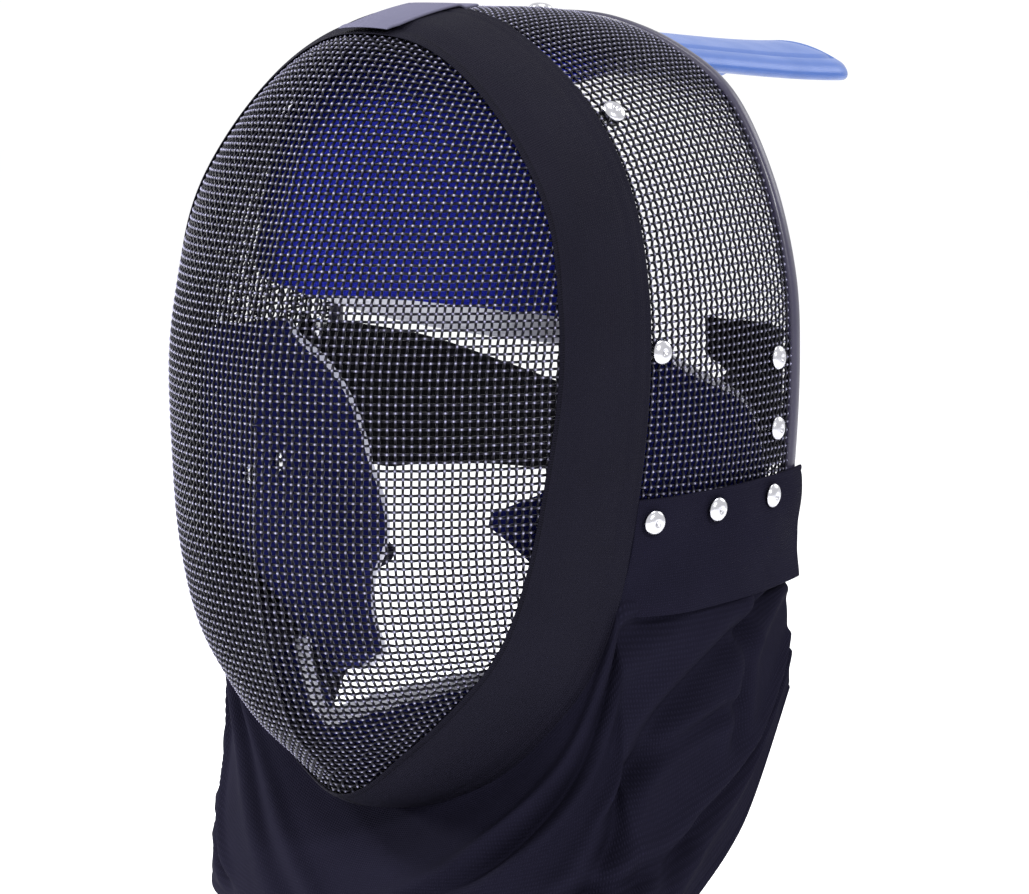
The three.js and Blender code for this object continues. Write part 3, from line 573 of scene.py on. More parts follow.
def color_of(part):
    """A main colour set in the panel."""
    return tuple(getattr(bpy.context.scene.mask_colours, part))


# Wire cloth


# Millimetres: how far the face's cloth runs past the seam, where the side's starts ahead of the trim's rear edge,
# how far back it is laid and how far short of the rim it stops, and where its wires are an even pitch apart
WIRES = {"past_seam": 4.0, "under_trim": 3.0, "laid_past": 14.0, "short": 0.5, "even_at": 48.0}
# The solver of the net: rounds, step of its slopes, largest move, smallest divisor, and the error that it may leave
NET = {"rounds": 9, "step": 1e-4, "move": 0.03, "least": 1e-6, "error": 0.3}


def disc_skin(spot):
    """The dome by flat disc coordinates, which have no seam at its middle."""
    radius = np.linalg.norm(spot, axis=-1)
    return skin(np.arctan2(spot[..., 0], spot[..., 1]) / np.pi, (radius - 1) * FRONT_SPAN)


def even_steps(direction, pitch, reach):
    """Disc coordinates a pitch apart along a straight line from the middle."""
    share = np.linspace(0, reach, 2001)
    length = run_length(disc_skin(share[:, None] * direction))
    wanted = np.arange(0, length[-1], pitch)
    return np.interp(wanted, length, share)[:, None] * direction


def net_quarter(upward, pitch, reach=1.05):
    """One quarter of a woven net laid on the dome.

    Each crossing lies one pitch from its neighbour towards the crease and one from its neighbour towards
    the middle row. Crossings of one diagonal are solved together by Newton's rule.
    """
    level_turn = np.interp(-FACE_CENTRE_LEVEL, -_seam_up, _share)
    sideways = np.array([np.sin(np.pi * level_turn), np.cos(np.pi * level_turn)])
    middle = even_steps(sideways, pitch, reach)
    crease = even_steps(np.array([0.0, 1.0 if upward else -1.0]), pitch, reach)
    columns, rows = len(middle), len(crease)
    net = np.full((rows, columns, 2), np.nan)
    net[0], net[:, 0] = middle, crease
    for diagonal in range(2, rows + columns - 1):
        j = np.arange(max(1, diagonal - columns + 1), min(rows - 1, diagonal - 1) + 1)
        i = diagonal - j
        known = np.isfinite(net[j, i - 1, 0]) & np.isfinite(net[j - 1, i, 0]) & np.isfinite(net[j - 1, i - 1, 0])
        j, i = j[known], i[known]
        if not len(j):
            continue
        a, b = disc_skin(net[j, i - 1]), disc_skin(net[j - 1, i])
        spot = net[j, i - 1] + net[j - 1, i] - net[j - 1, i - 1]
        for _ in range(NET["rounds"]):
            here = disc_skin(spot)
            slopes = [(disc_skin(spot + way * NET["step"]) - here) / NET["step"] for way in np.eye(2)]
            gap = np.stack([((here - a) ** 2).sum(-1) - pitch ** 2, ((here - b) ** 2).sum(-1) - pitch ** 2], -1)
            rows_of = [[2 * ((here - end) * slope).sum(-1) for slope in slopes] for end in (a, b)]
            det = rows_of[0][0] * rows_of[1][1] - rows_of[0][1] * rows_of[1][0]
            det = np.where(np.abs(det) < NET["least"], NET["least"], det)
            move = np.stack([
                (gap[:, 0] * rows_of[1][1] - gap[:, 1] * rows_of[0][1]) / det,
                (gap[:, 1] * rows_of[0][0] - gap[:, 0] * rows_of[1][0]) / det,
            ], -1)
            spot = spot - np.clip(move, -NET["move"], NET["move"])
        off_length = np.abs(np.linalg.norm(disc_skin(spot) - a, axis=-1) - pitch)
        good = (np.linalg.norm(spot, axis=-1) < reach) & (off_length < NET["error"])
        net[j[good], i[good]] = spot[good]
    return net


def front_net(pitch):
    """The whole net: rows from chin to crown, columns from the wearer's right to left."""
    up, down = net_quarter(True, pitch), net_quarter(False, pitch)
    columns = max(up.shape[1], down.shape[1])
    pad = [np.pad(q, ((0, 0), (0, columns - q.shape[1]), (0, 0)), constant_values=np.nan) for q in (down, up)]
    half = np.concatenate([pad[0][:0:-1], pad[1]])
    other = half[:, :0:-1] * np.array([-1.0, 1.0])
    return np.concatenate([other, half], 1)


def woven(points, normals, live, parity, amplitude):
    """Paths of one set of wires: over and under at the crossings, level half way between them."""
    paths = []
    lift = np.where(parity, amplitude, -amplitude)
    for row in range(points.shape[0]):
        spots = np.flatnonzero(live[row])
        if len(spots) < 3:
            continue
        for run in np.split(spots, np.flatnonzero(np.diff(spots) > 1) + 1):
            if len(run) < 3:
                continue
            p, n = points[row, run], normals[row, run]
            high = p + n * lift[row, run][:, None]
            path = np.empty((2 * len(run) - 1, 3))
            way = np.empty_like(path)
            path[0::2], way[0::2] = high, n
            path[1::2] = (p[1:] + p[:-1]) / 2
            way[1::2] = unit(n[1:] + n[:-1])
            mark = np.full(len(path), 0.5)
            mark[0::2] = np.where(lift[row, run] > 0, 1.0, 0.0)
            paths.append((path, way, mark))
    return paths


def knuckle_highlight_group(name):
    """Painted highlight on the outer side of each raised crossing: a paler colour stands in for the light that the
    knuckles catch.

    The share of the highlight colour is the mark to a power times the outward facing to a power, made uneven by
    noise.
    """
    group, source, result, place = new_group(name, [
        ("Color", "NodeSocketColor", (0.5, 0.5, 0.5, 1)),
        ("Worn", "NodeSocketColor", (0.4, 0.4, 0.4, 1)),
    ], [("Color", "NodeSocketColor")])
    split = group.nodes.new("ShaderNodeSeparateXYZ")
    group.links.new(place.outputs["UV"], split.inputs[0])
    high = math_node(group, "POWER", split.outputs["X"], 11.0)
    outer = math_node(group, "POWER", split.outputs["Y"], 5.0)
    spot = math_node(group, "MULTIPLY", high, outer)
    uneven = math_node(group, "MULTIPLY", blotches(group, place, 420.0, 2.0), 1.7)
    shade(group, math_node(group, "MULTIPLY", spot, uneven), source, "Worn", result)
    return group


def wire_finish():
    """Black coating with grain, with a painted highlight on the raised crossings."""
    name = "wire_coating"
    if name in bpy.data.materials:
        return bpy.data.materials[name]
    material = finish(name, "grain", color_of("wire"), 0.6, 2600, 0.02, 0.3, gloss=0.08)
    nodes, links = material.node_tree.nodes, material.node_tree.links
    # painted highlight: a pale lilac colour on the outer side of each raised crossing
    painted_light = nodes.new("ShaderNodeGroup")
    painted_light.node_tree = shared("Mask worn wire", knuckle_highlight_group)
    painted_light.inputs["Worn"].default_value = (.52, .51, .74, 1)
    coat = next(node for node in nodes if node.type == "GROUP" and node != painted_light)
    links.new(coat.outputs["Color"], painted_light.inputs["Color"])
    links.new(painted_light.outputs["Color"], nodes["Principled BSDF"].inputs["Base Color"])
    return material


def build_wires(turn, behind, live, names, node):
    """Both sets of wires of a cloth, from a grid of crossings of which some are live."""
    radius = sizes().wire / 2
    normals = outward(turn, behind)
    points = skin(turn, behind) - normals * WIRE_CLOTH / 2
    rows, columns = live.shape
    parity = (np.arange(rows)[:, None] + np.arange(columns)[None]) % 2 == 0
    first = woven(points, normals, live, parity, radius)
    second = woven(*(np.swapaxes(a, 0, 1) for a in (points, normals, live)), ~parity.T, radius)
    for name, paths in zip(names, (first, second)):
        dress(tubes(name, paths, radius), "wire", wire_finish(), node)


def build_front_wires():
    """The woven wire cloth over the face, in place of the plain dome."""
    net = front_net(sizes().pitch)
    turn = np.arctan2(net[..., 0], net[..., 1]) / np.pi
    behind = (np.linalg.norm(net, axis=-1) - 1) * FRONT_SPAN
    live = np.isfinite(behind) & (behind < WIRES["past_seam"])
    turn, behind = np.where(live, turn, 0.0), np.where(live, behind, 0.0)
    build_wires(turn, behind, live, ("front_wires_across", "front_wires_down"), "front_mesh")


def build_side_wires():
    """The woven wire cloth from the trim to the rim, over the crown and down both cheeks."""
    pitch = sizes().pitch
    fine = np.linspace(-JAW_TURN, JAW_TURN, 4001)
    length = run_length(skin(fine, TRIM_WIDTH + WIRES["even_at"]))
    count = int(length[-1] / pitch)
    turn = np.interp(np.linspace(0, length[-1], count + 1), length, fine)
    behind = np.arange(TRIM_WIDTH - WIRES["under_trim"], RIM_DEPTH + WIRES["laid_past"], pitch)
    turn, behind = np.meshgrid(turn, behind)
    live = behind < rim_behind(turn) - WIRES["short"]
    build_wires(turn, behind, live, ("side_wires_round", "side_wires_back"), "side_mesh")


# Trim, patch and binding


# Millimetres: the tape's rounded edge, thickness and reach of its lip, and places of hem, crease and rear stitches
TRIM = {"edge": 1.0, "lip_cloth": 0.8, "lip_reach": 12, "hem": 1.6, "crease": 28.0, "stitch": 2.2}
PATCH = {"half": 11.0, "reach": 48.0, "cloth": 1.2, "edge": 0.6, "seam": 2.0}
# The binding's section is a squared ring: half sizes and shifts along the wall and off it, in millimetres
BINDING = {"sides": 20, "square": 0.7, "half_reach": 3.25, "ahead": 1.75, "half_off": 2.5, "inside": 1.0}


def build_trim():
    """The tape over the seam, with its turned edges, and the stitched patch over its joint."""
    tape = finish("trim_tape", "weave", color_of("trim"), 0.55, 330, 0.3, 0.7, gloss=0.05, contrast=0.6)
    turn = np.linspace(-1, 1, 421)[:-1]
    lines = edge_lines(-TRIM_LIP, TRIM_WIDTH, 1.1, TRIM["edge"])
    turns, behind = np.meshgrid(turn, lines)
    base, normal = skin(turns, behind), outward(turns, behind)
    full = rounded(lines, TRIM["edge"])[:, None] * np.ones(len(turn))
    hem = dip(behind - TRIM["hem"], 0.35, 0.5)
    crease = dip(behind - TRIM["crease"] - 0.8 * np.sin(9 * turns), 0.3, 1.3)
    stitch = dip(behind - TRIM_WIDTH + TRIM["stitch"], 0.3, 0.5)
    slack = 0.25 * np.sin(31 * turns + 0.1 * behind) * np.sin(np.pi * (behind + TRIM_LIP) / TRIM_WIDTH)
    thick = mix(TRIM["lip_cloth"], TRIM_CLOTH, ease((behind + TRIM_LIP) / TRIM["lip_reach"]))
    base = base + normal * (CLEARANCE + thick / 2)[..., None]
    body = slab("trim_tape_band", base, normal, full, thick, hem + crease + stitch + slack, ring=True)
    dress(body, "trim", tape, "trim_band")
    build_patch()


def build_patch():
    """The cloth piece over the tape's joint at the crown, with dashed stitches, let down behind the tape."""
    cloth = finish("patch_cloth", "weave", (.110, .108, .160), 0.7, 520, 0.06, 0.8)
    half, reach, edge = PATCH["half"], PATCH["reach"], PATCH["edge"]
    half_turn = half / outline(FACE, np.array(1 / 12))[0] / 12
    across = edge_lines(-half, half, 0.8, edge) / half * half_turn
    lines = edge_lines(-TRIM_LIP, reach, 0.8, edge)
    turns, behind = np.meshgrid(across, lines)
    base, normal = skin(turns, behind), outward(turns, behind)
    full = rounded(lines, edge)[:, None] * rounded(across, edge / half * half_turn)[None]
    sideways = turns / half_turn * half
    from_edge = np.minimum(half - np.abs(sideways), np.minimum(behind + TRIM_LIP, reach - behind))
    dashes = 0.5 + 0.5 * np.sign(np.sin(2.2 * (behind + sideways)))
    relief = dip(from_edge - PATCH["seam"], 0.25, 0.45) * dashes
    drop = TRIM_CLOTH * ease((behind - TRIM_WIDTH - 0.5) / 5)
    base = base - normal * (0.75 * drop)[..., None]
    middle = 2 * CLEARANCE + TRIM_CLOTH + PATCH["cloth"] / 2
    patch = slab("patch_cloth_piece", base, normal, full, PATCH["cloth"], relief, middle=middle)
    dress(patch, "patch", cloth, "trim_patch")


def squared(wave):
    """A sine or cosine with fuller corners: its size to a power below 1, with its sign."""
    return np.sign(wave) * np.abs(wave) ** BINDING["square"]


def build_binding():
    """The smooth tape folded over the rear edge of the wire cloth."""
    tape = finish("binding_tape", "grain", color_of("binding"), 0.6, 700, 0.03, 0.32, gloss=0.35)
    turn = np.linspace(-JAW_TURN, JAW_TURN, 261)
    sides = BINDING["sides"]
    angle = 2 * np.pi * np.arange(sides) / sides
    turns, backs = np.meshgrid(turn, squared(np.cos(angle)) * BINDING["half_reach"] - BINDING["ahead"])
    _, offs = np.meshgrid(turn, squared(np.sin(angle)) * BINDING["half_off"] - BINDING["inside"])
    points = basket(turns, rim_behind(turns) + backs, offs).transpose(1, 0, 2)
    index = np.arange(points.shape[0] * sides).reshape(-1, sides)
    ends = []
    for row in (0, -1):
        loop = index[row]
        fan = np.stack([np.full(sides - 2, loop[0]), loop[1:-1], loop[2:], loop[2:]], -1)
        ends.append(fan[:, [0, 2, 1, 1]] if row == 0 else fan)
    uv = np.stack(np.meshgrid(angle * 3, np.arange(len(turn)) * 3.0), -1).reshape(-1, 2)
    faces = np.concatenate([quads(index, True), *ends])
    dress(tri_mesh("rim_binding_tape", points.reshape(-1, 3), faces, uv), "binding", tape, "rim_binding")


# Cloth


def cloth_finish():
    """Cotton of the bib and the yokes."""
    return finish("bib_cotton", "weave", color_of("cloth"), 0.5, 330, 0.2, 0.9, contrast=0.6)


# Levels of the yoke's top and fold at its front and back ends, how far it runs past the rim and how far it flares,
# in millimetres. Places of its hem and puckers are shares of its height.
YOKE = {"top_front": -21.4, "top_back": -17.4, "fold_front": -66.0, "fold_back": -60.5, "past": 2.5, "flare": 3.4,
        "hem": 0.06, "puckers": 0.24}


def build_yokes():
    """The plain cloth bands over the lower edges of the wire cloth."""
    uu, vv, full = cloth_grid((96.0, 44.0), (1.6, 1.4), 1.0)
    level = mix(mix(YOKE["top_front"], YOKE["top_back"], uu), mix(YOKE["fold_front"], YOKE["fold_back"], uu), vv)
    turn = turn_at(level, mix(TRIM_WIDTH, RIM_DEPTH, uu))
    behind = mix(TRIM_WIDTH - CLEARANCE, rim_behind(turn) + YOKE["past"], uu)
    turn = turn_at(level, behind)
    rise = mix(CLEARANCE, 2 * CLEARANCE + BINDING_WALL, ease(uu / 0.14))
    off = rise + YOKE_CLOTH / 2 + YOKE["flare"] * vv ** 2 * ease(uu / 0.3)
    puckers = dip(vv - YOKE["puckers"], -0.6, 0.14) * np.cos(2 * np.pi * (uu * 2.6 - 0.35))
    hem = dip(vv - YOKE["hem"], 0.4, 0.02)
    for hand, word in ((1, "left"), (-1, "right")):
        base, normal = basket(turn, behind, off), outward(turn, behind)
        base[..., 0] *= hand
        normal[..., 0] *= hand
        waves = 0.9 * np.sin(7.2 * uu + 4 * vv + hand) * np.sin(np.pi * vv) + 0.35 * np.sin(17 * uu - 9 * vv)
        obj = slab(f"yoke_cloth_{word}", base, normal, full, YOKE_CLOTH, waves + puckers + hem, 1.0)
        dress(obj, "bib_cloth", cloth_finish(), f"yoke_{word}")


# The bib in millimetres, with its hem's outline and its bulge as shares round the neck from throat to rear end.
# On the wearer's right it swells and is pinched under the jaw.
BIB = {
    "far_swell": 8.5, "far_pinch": 19.0,
    "padding": 5.5, "top": -57.0, "hem": -193.0, "half": 109.0, "rear": 137.0, "swell": 9.0, "front": -6.0,
    "out": [0, .4, .77, .97, 1, 1, 1],
    "back": [0, .03, .18, .35, .5, .77, 1],
    "down": [1, 1, 1, .985, .92, .72, .36],
    "bulge": [.5, .3, -.4, -1, -.5, .2, 0],
}

# Folds of one half of the bib: start and end, each as shares round the neck and down the cloth, then the bend as a
# share of its length, its share of the fold depth and its half width in millimetres
FOLDS = {
    "left": [
        ((.97, .10), (.30, .98), .10, 1.0, 7.0),
        ((1.0, .62), (.34, .80), -.06, .9, 4.5),
        ((.62, .06), (.18, .62), .10, .9, 6.0),
        ((.84, .04), (.80, .62), .02, .55, 4.0),
        ((.80, .45), (.40, .60), .05, .5, 4.0),
        ((.70, .80), (.50, .92), .02, .6, 4.0),
        ((.40, .30), (.05, .85), .06, .5, 6.0),
    ],
    "right": [
        ((.70, .10), (.66, .97), .03, .75, 2.6),
        ((.54, .38), (.28, .90), -.08, .8, 3.4),
        ((.66, .80), (.44, .82), .01, .6, 2.6),
        ((.36, .20), (.08, .90), .05, .5, 6.0),
        ((.96, .15), (.74, .90), .05, .7, 5.0),
    ],
}
FOLD_SPAN = np.array([250.0, 135.0])


def bib_top(share, off):
    """The bib's upper edge: along the jaw behind the trim, then back along the wall to the rim."""
    front_edge = TRIM_WIDTH + 2 * CLEARANCE
    jaw = turn_at(BIB["top"], front_edge)
    on_jaw = share <= 0.5
    way = np.clip((share - 0.5) / 0.5, 0, 1)
    behind = mix(front_edge, rim_behind(jaw) + YOKE["past"], way)
    on_wall = turn_at(np.full(share.shape, BIB["top"]), behind)
    turn = np.where(on_jaw, mix(1.0, jaw, np.minimum(share / 0.5, 1)), on_wall)
    return basket(turn, np.where(on_jaw, front_edge, behind), off)


def bib_surface(u, v, off):
    """The bib hangs from the jaw line to its hem, swelling or pinched between them."""
    share = np.abs(2 * u - 1)
    top = bib_top(share, CLEARANCE + BINDING_WALL + off)
    hem_out = along(BIB["out"], share, -1) * BIB["half"]
    hem_back = mix(BIB["front"], BIB["rear"], along(BIB["back"], share))
    hem_level = mix(BIB["top"], BIB["hem"], along(BIB["down"], share))
    bulge = along(BIB["bulge"], share) * BIB["swell"] * np.sin(np.pi * v) ** 2
    swell = dip(v - 0.64, -BIB["far_swell"], 0.17)
    pinch = dip(v - 0.24, BIB["far_pinch"], 0.16) * ease((v - 0.02) / 0.12)
    bulge = bulge + (swell + pinch) * ease((share - 0.45) / 0.25) * ease((0.5 - u) / 0.02)
    heading = (np.pi / 2) * np.minimum(1, share / 0.7)
    settled = ease(v)
    reach = bulge + off * settled
    x = mix(top[..., 0], hem_out, settled) + reach * np.sin(heading)
    y = mix(top[..., 1], hem_back, settled) - reach * np.cos(heading)
    return np.stack([x * np.where(u < 0.5, -1, 1), y, mix(top[..., 2], hem_level, v)], -1)


def fold_depth(share, v, folds):
    """Each fold is a valley along a bent line with a soft ridge on both sides, fading at its ends."""
    total = np.zeros_like(share)
    for start, end, bend, depth, half in folds:
        a, b = np.array(start) * FOLD_SPAN, np.array(end) * FOLD_SPAN
        length = np.linalg.norm(b - a)
        run = (b - a) / length
        x, y = share * FOLD_SPAN[0] - a[0], v * FOLD_SPAN[1] - a[1]
        way = (x * run[0] + y * run[1]) / length
        near = (-x * run[1] + y * run[0] - bend * length * 4 * way * (1 - way)) / half
        fade = ease((way + 0.12) / 0.25) * ease((1.12 - way) / 0.25)
        total += depth * fade * (dip(near, 1.0, 1.0) + dip(near - 2.0, -0.75, 1.1) + dip(near + 2.0, -0.45, 1.1))
    return total


def build_bib():
    """The padded cloth round the throat, with its long slanting folds."""
    uu, vv, full = cloth_grid((560.0, 135.0), (2.0, 1.5), 2.7)
    base = bib_surface(uu, vv, -BIB["padding"] / 2)
    share = np.abs(2 * uu - 1)
    relief = np.where(uu >= 0.5, fold_depth(share, vv, FOLDS["left"]), fold_depth(share, vv, FOLDS["right"]))
    relief = relief * sizes().fold * ease(vv / 0.08)
    ripple = 0.5 * np.sin(23 * share + 7 * vv) * np.sin(11 * vv + 5 * share)
    hem = dip(vv - 0.955, 0.7, 0.008)
    obj = slab("bib_cloth_padded", base, -grid_normal(base), full, BIB["padding"], relief + ripple + hem, 0.8)
    dress(obj, "bib_cloth", cloth_finish(), "bib", padded=0.5)


# Pads


# The forehead band: half its turn and its width, where its roof starts and ends behind the seam, the roof's start as
# a share down the sheet, its skew, and the level and depth of its lower edge. Millimetres and shares.
CROWN = {"turn": 0.19, "half": 86.0, "start": 36.0, "end": 91.0, "roof": 0.6, "skew": 0.1, "low": 43.5, "front": 14.0}
# Cheek pads by hand: their reach back as shares of their depth, down the pad, and how far their foot is tucked and
# their rear edge curled in, in millimetres
SIDE_PAD = {
    1: {"reach": [.36, .78, .92, .99, 1.0, .88, .72], "tuck": 6.0, "curl": 0.0},
    -1: {"reach": [.58, .86, 1.0, 1.06, 1.05, .92, .76], "tuck": 11.0, "curl": 9.0},
}


def lining_finish():
    """Blue cloth of the forehead band."""
    return finish("lining_cloth", "weave", color_of("lining"), 0.6, 300, 0.16, 0.85, contrast=0.5)


def cheek_finish():
    """The same cloth in navy, for the cheek pads and the chin cup."""
    navy = tuple(c * share for c, share in zip(color_of("lining"), (0.6, 0.5, 0.28)))
    return finish("cheek_cloth", "weave", navy, 0.6, 300, 0.16, 0.85, contrast=0.5)


def edging_finish():
    """Pale tape over the edges of the pads."""
    return finish("edging_tape", "weave", (.700, .700, .800), 0.7, 400, 0.08, 0.75)


def crown_pad_face(u, v):
    """The forehead band hangs from the crown along a three-point curve and turns back under it."""
    across = 2 * u - 1
    turn, start = across * CROWN["turn"], CROWN["start"]
    under = -WIRE_CLOTH - CLEARANCE - SEAT_CLEARANCE
    way = np.clip((v - CROWN["roof"]) / (1 - CROWN["roof"]), 0, 1)
    roof = basket(turn, mix(start, CROWN["end"], way), under)
    share = np.clip(v / CROWN["roof"], 0, 1)[..., None]
    skew = -CROWN["skew"] * CROWN["half"] * across
    low = np.stack([CROWN["half"] * across, CROWN["front"] + 34.0 * across ** 2, CROWN["low"] + skew], -1)
    high = basket(turn, np.full(u.shape, start), under)
    bend = np.stack([0.9 * low[..., 0], low[..., 1] - 9.0, mix(low[..., 2], high[..., 2], 0.66)], -1)
    lower = low * (1 - share) ** 2 + bend * 2 * share * (1 - share) + high * share ** 2
    return np.where((v >= CROWN["roof"])[..., None], roof, lower)


def chin_pad_face(u, v):
    """A cup: low at the middle, rising to both sides, seated on the lower mesh."""
    across = 2 * u - 1
    away = np.abs(across)
    top = np.stack([60.0 * across, -16.0 + 58.0 * away ** 1.3, -109.0 + 21.0 * away ** 0.8], -1)
    seat = basket(1 - 0.17 * away, mix(5.0, 30.0, away), -WIRE_CLOTH - 2 * SEAT_CLEARANCE)
    seat[..., 0] *= np.where(across < 0, -1, 1)
    return mix(top, seat, v[..., None])


def side_pad_face(hand, u, v):
    """The cheek pad follows the wall and is tucked in towards its foot."""
    shape = SIDE_PAD[hand]
    level = mix(32.0, -104.0, along([0, .17, .31, .47, .64, .85, 1], v, -1, -1))
    back = mix(16.0, 127.0, mix(along([0, 0, 0, 0, .05, .3, .5], v), along(shape["reach"], v), u))
    curl = shape["curl"] * ease((u - 0.35) / 0.65) * ease((1 - v) / 0.3)
    tuck = shape["tuck"] * ease((-28.0 - level) / 40.0) + curl
    return wall(hand, back, level, -WIRE_CLOTH - SEAT_CLEARANCE - STRAP_CLOTH - CLEARANCE - tuck)


def pad(name, face, spans, thickness, sign, node, seams=()):
    """A stuffed pad on the far side of a face: full in the middle, rounded at its border, dented at its seams."""
    uu, vv, full = cloth_grid(spans, (2.0, 2.0), thickness / 2)
    base = face(uu, vv)
    normal = grid_normal(base) * sign
    swell = np.minimum(1, np.minimum(uu, 1 - uu) * 5) * np.minimum(1, np.minimum(vv, 1 - vv) * 5)
    depth = mix(0.55 * thickness, thickness, ease(swell))
    for place in seams:
        depth = depth + dip((vv - place) * spans[1], 0.3 * thickness, 2.0)
    body = slab(name, base + normal * depth[..., None] / 2, normal, full, depth)
    dress(body, "pad_lining", lining_finish() if node == "crown_pad" else cheek_finish(), node, padded=0.8)


def edging(name, face, u, v, half, sign):
    """A flat tape bound over an edge of a pad, along the line of shares u and v."""
    path = face(u, v)
    step = 0.02
    over = face(u, np.clip(v + step, 0, 1)) - face(u, np.clip(v - step, 0, 1))
    across = face(np.clip(u + step, 0, 1), v) - face(np.clip(u - step, 0, 1), v)
    normal = unit(np.cross(across, over)) * sign
    tape = tubes(name, [(path + normal * 3.0, normal, np.zeros(len(path)))], half, 14, 0.5)
    dress(tape, "pad_lining", edging_finish())


def build_pads():
    """Forehead band, cheek pads and chin cup, with their pale edging."""
    build_flap()
    line = np.linspace(0.02, 0.98, 90)
    pad("crown_pad_lining", crown_pad_face, (190.0, 150.0), 12.0, -1, "crown_pad", (0.3,))
    edging("crown_pad_edging", crown_pad_face, line, np.full(90, 0.02), mix(2.4, 7.0, ease(line * 1.3)), -1)
    pad("chin_pad_lining", chin_pad_face, (170.0, 34.0), 9.0, 1, "chin_pad")
    edging("chin_pad_edging", chin_pad_face, line, np.full(90, 0.06), 5.4, 1)
    for hand, word in ((1, "left"), (-1, "right")):
        face = lambda u, v, hand=hand: side_pad_face(hand, u, v)
        pad(f"side_pad_lining_{word}", face, (100.0, 136.0), 9.5, hand, f"side_pad_{word}")
        edging(f"side_pad_edging_{word}", face, np.full(90, 0.975), line, 4.0, hand)


def build_flap():
    """The loose corner of the near cheek pad, which points in behind the trim."""
    uu, vv, full = cloth_grid((32.0, 42.0), (1.6, 1.6), 1.8)
    root = mix(np.array([88.0, 20.0, -13.0]), np.array([84.0, 19.0, -58.0]), vv[..., None])
    tip = mix(np.array([60.5, 6.3, -26.6]), np.array([59.5, 6.3, -31.0]), vv[..., None])
    base = mix(root, tip, uu[..., None])
    base[..., 1] += 2.5 * np.sin(np.pi * uu)
    body = slab("side_pad_corner_left", base, grid_normal(base), full, 3.6)
    dress(body, "pad_lining", cheek_finish(), padded=0.6)


# The strap's stations round the head: on a wall (1 left, -1 right) or free (0), its place out as a share of the rim's
# half width, its place behind the rim and off the wall in millimetres, and its edges as shares of the face's upper
# height
STRAP = {
    "wall": [1, 1, 1, 1, 0, 0, 0, 0, 0, 0, 0, -1, -1],
    "out": [0, 0, 0, 0, .88, .693, .373, 0, -.373, -.693, -.88, 0, 0],
    "behind": [-58, -39, -23, -9, 9, 23, 33, 37, 33, 23, 9, -9, -26],
    "inset": [.4, 0, 0, 2, 0, 0, 0, 0, 0, 0, 0, 2, 0],
    "top": [.295, .278, .265, .248, .221, .141, .027, -.013, .054, .127, .161, .181, .2],
    "bottom": [.2, .12, .013, -.067, -.114, -.174, -.221, -.234, -.221, -.221, -.228, -.107, .013],
}


def build_strap():
    """The wide webbing round the back of the head, flat on both walls."""
    cloth = finish("strap_webbing", "weave", (.0080, .0078, .0095), 0.5, 210, 0.25, 0.85, contrast=0.5)
    stations = []
    rise = edge_lines(0.0, 45.0, 1.5, 0.9) / 45.0
    for hand, out, behind, inset, top, bottom in zip(*STRAP.values()):
        level = mix(bottom, top, rise) * FACE["above"]
        back = np.full(rise.shape, RIM_DEPTH + behind)
        if hand:
            stations.append(wall(hand, back, level, -WIRE_CLOTH - SEAT_CLEARANCE - STRAP_CLOTH / 2 - inset))
        else:
            stations.append(np.stack([np.full(rise.shape, out * RIM["half"]), back, level], -1))
    place = edge_lines(0.0, 420.0, 2.5, 0.9) / 420.0
    points = smooth_rows(np.array(stations), place).transpose(1, 0, 2)
    full = rounded(rise, 0.9 / 45)[:, None] * rounded(place, 0.9 / 420)[None]
    ribs = dip(np.minimum(rise, 1 - rise)[:, None] - 0.07, -0.25, 0.02) * np.ones(len(place))
    obj = slab("strap_webbing_band", points, grid_normal(points), full, 1.8, ribs)
    dress(obj, "webbing", cloth, "back_strap")


def smooth_rows(rows, place):
    """A smooth curve through rows of points, straight on at both ends."""
    last = len(rows) - 1
    rows = np.concatenate([[2 * rows[0] - rows[1]], rows, [2 * rows[-1] - rows[-2]]])
    spot = np.clip(place, 0, 1) * last
    row = np.minimum(spot.astype(int), last - 1)
    return cubic(rows, row, (spot - row)[:, None, None])


# The tongue in millimetres, with its taper as a share of its width, and its stitched seam by the distance from its
# edge
TONGUE = {"half": 41.0, "front": 110.0, "back": 301.0, "padding": 10.0, "edge": 6.5, "arch": 10.5, "drop": 9.5,
          "end_run": 25.0, "taper": 0.3, "groove": 9.0, "stitches": 10.6}


def build_tongue():
    """The padded spring behind the head: an arched top, a rolled edge and a stitched seam beside it."""
    leather = finish("tongue_leather", "grain", color_of("leather"), 0.8, 1100, 0.05, 0.34, gloss=0.3)
    uu, vv, full = cloth_grid((82.0, 181.0), (1.2, 2.0), 4.0)
    back = mix(TONGUE["front"], TONGUE["back"], vv)
    near_end = np.maximum(0, 1 - (TONGUE["back"] - back) / TONGUE["end_run"])
    half = TONGUE["half"] * (1 - TONGUE["taper"] * near_end ** 3)
    across = 2 * uu - 1
    crown = skin(np.array(0.0), rim_behind(np.array(0.0)))[2]
    crown = crown - WIRE_CLOTH - CLEARANCE - BINDING_WALL - SEAT_CLEARANCE
    level = crown - TONGUE["drop"] * ease(vv) - TONGUE["arch"] * across ** 2
    thick = mix(TONGUE["padding"], TONGUE["edge"], np.maximum(across ** 4, (2 * vv - 1) ** 8))
    base = np.stack([half * across, back, level - thick / 2], -1)
    normal = np.zeros_like(base)
    normal[..., 2] = 1
    from_end = np.minimum(back - TONGUE["front"], TONGUE["back"] - back)
    from_edge = np.minimum((1 - np.abs(across)) * TONGUE["half"], from_end)
    groove = dip(from_edge - TONGUE["groove"], 1.5, 1.1)
    stitches = dip(from_edge - TONGUE["stitches"], -0.5, 0.4) * (0.5 + 0.5 * np.sin(1.6 * back))
    obj = slab("tongue_padded", base, normal, full, thick, groove + stitches)
    dress(obj, "tongue_skin", leather, "tongue", padded=0.9)


# Rivets

RIVET = {"head": 4.75, "height": 2.2, "shank": 1.6, "washer": 4.2, "plate": 0.8, "sides": 32}


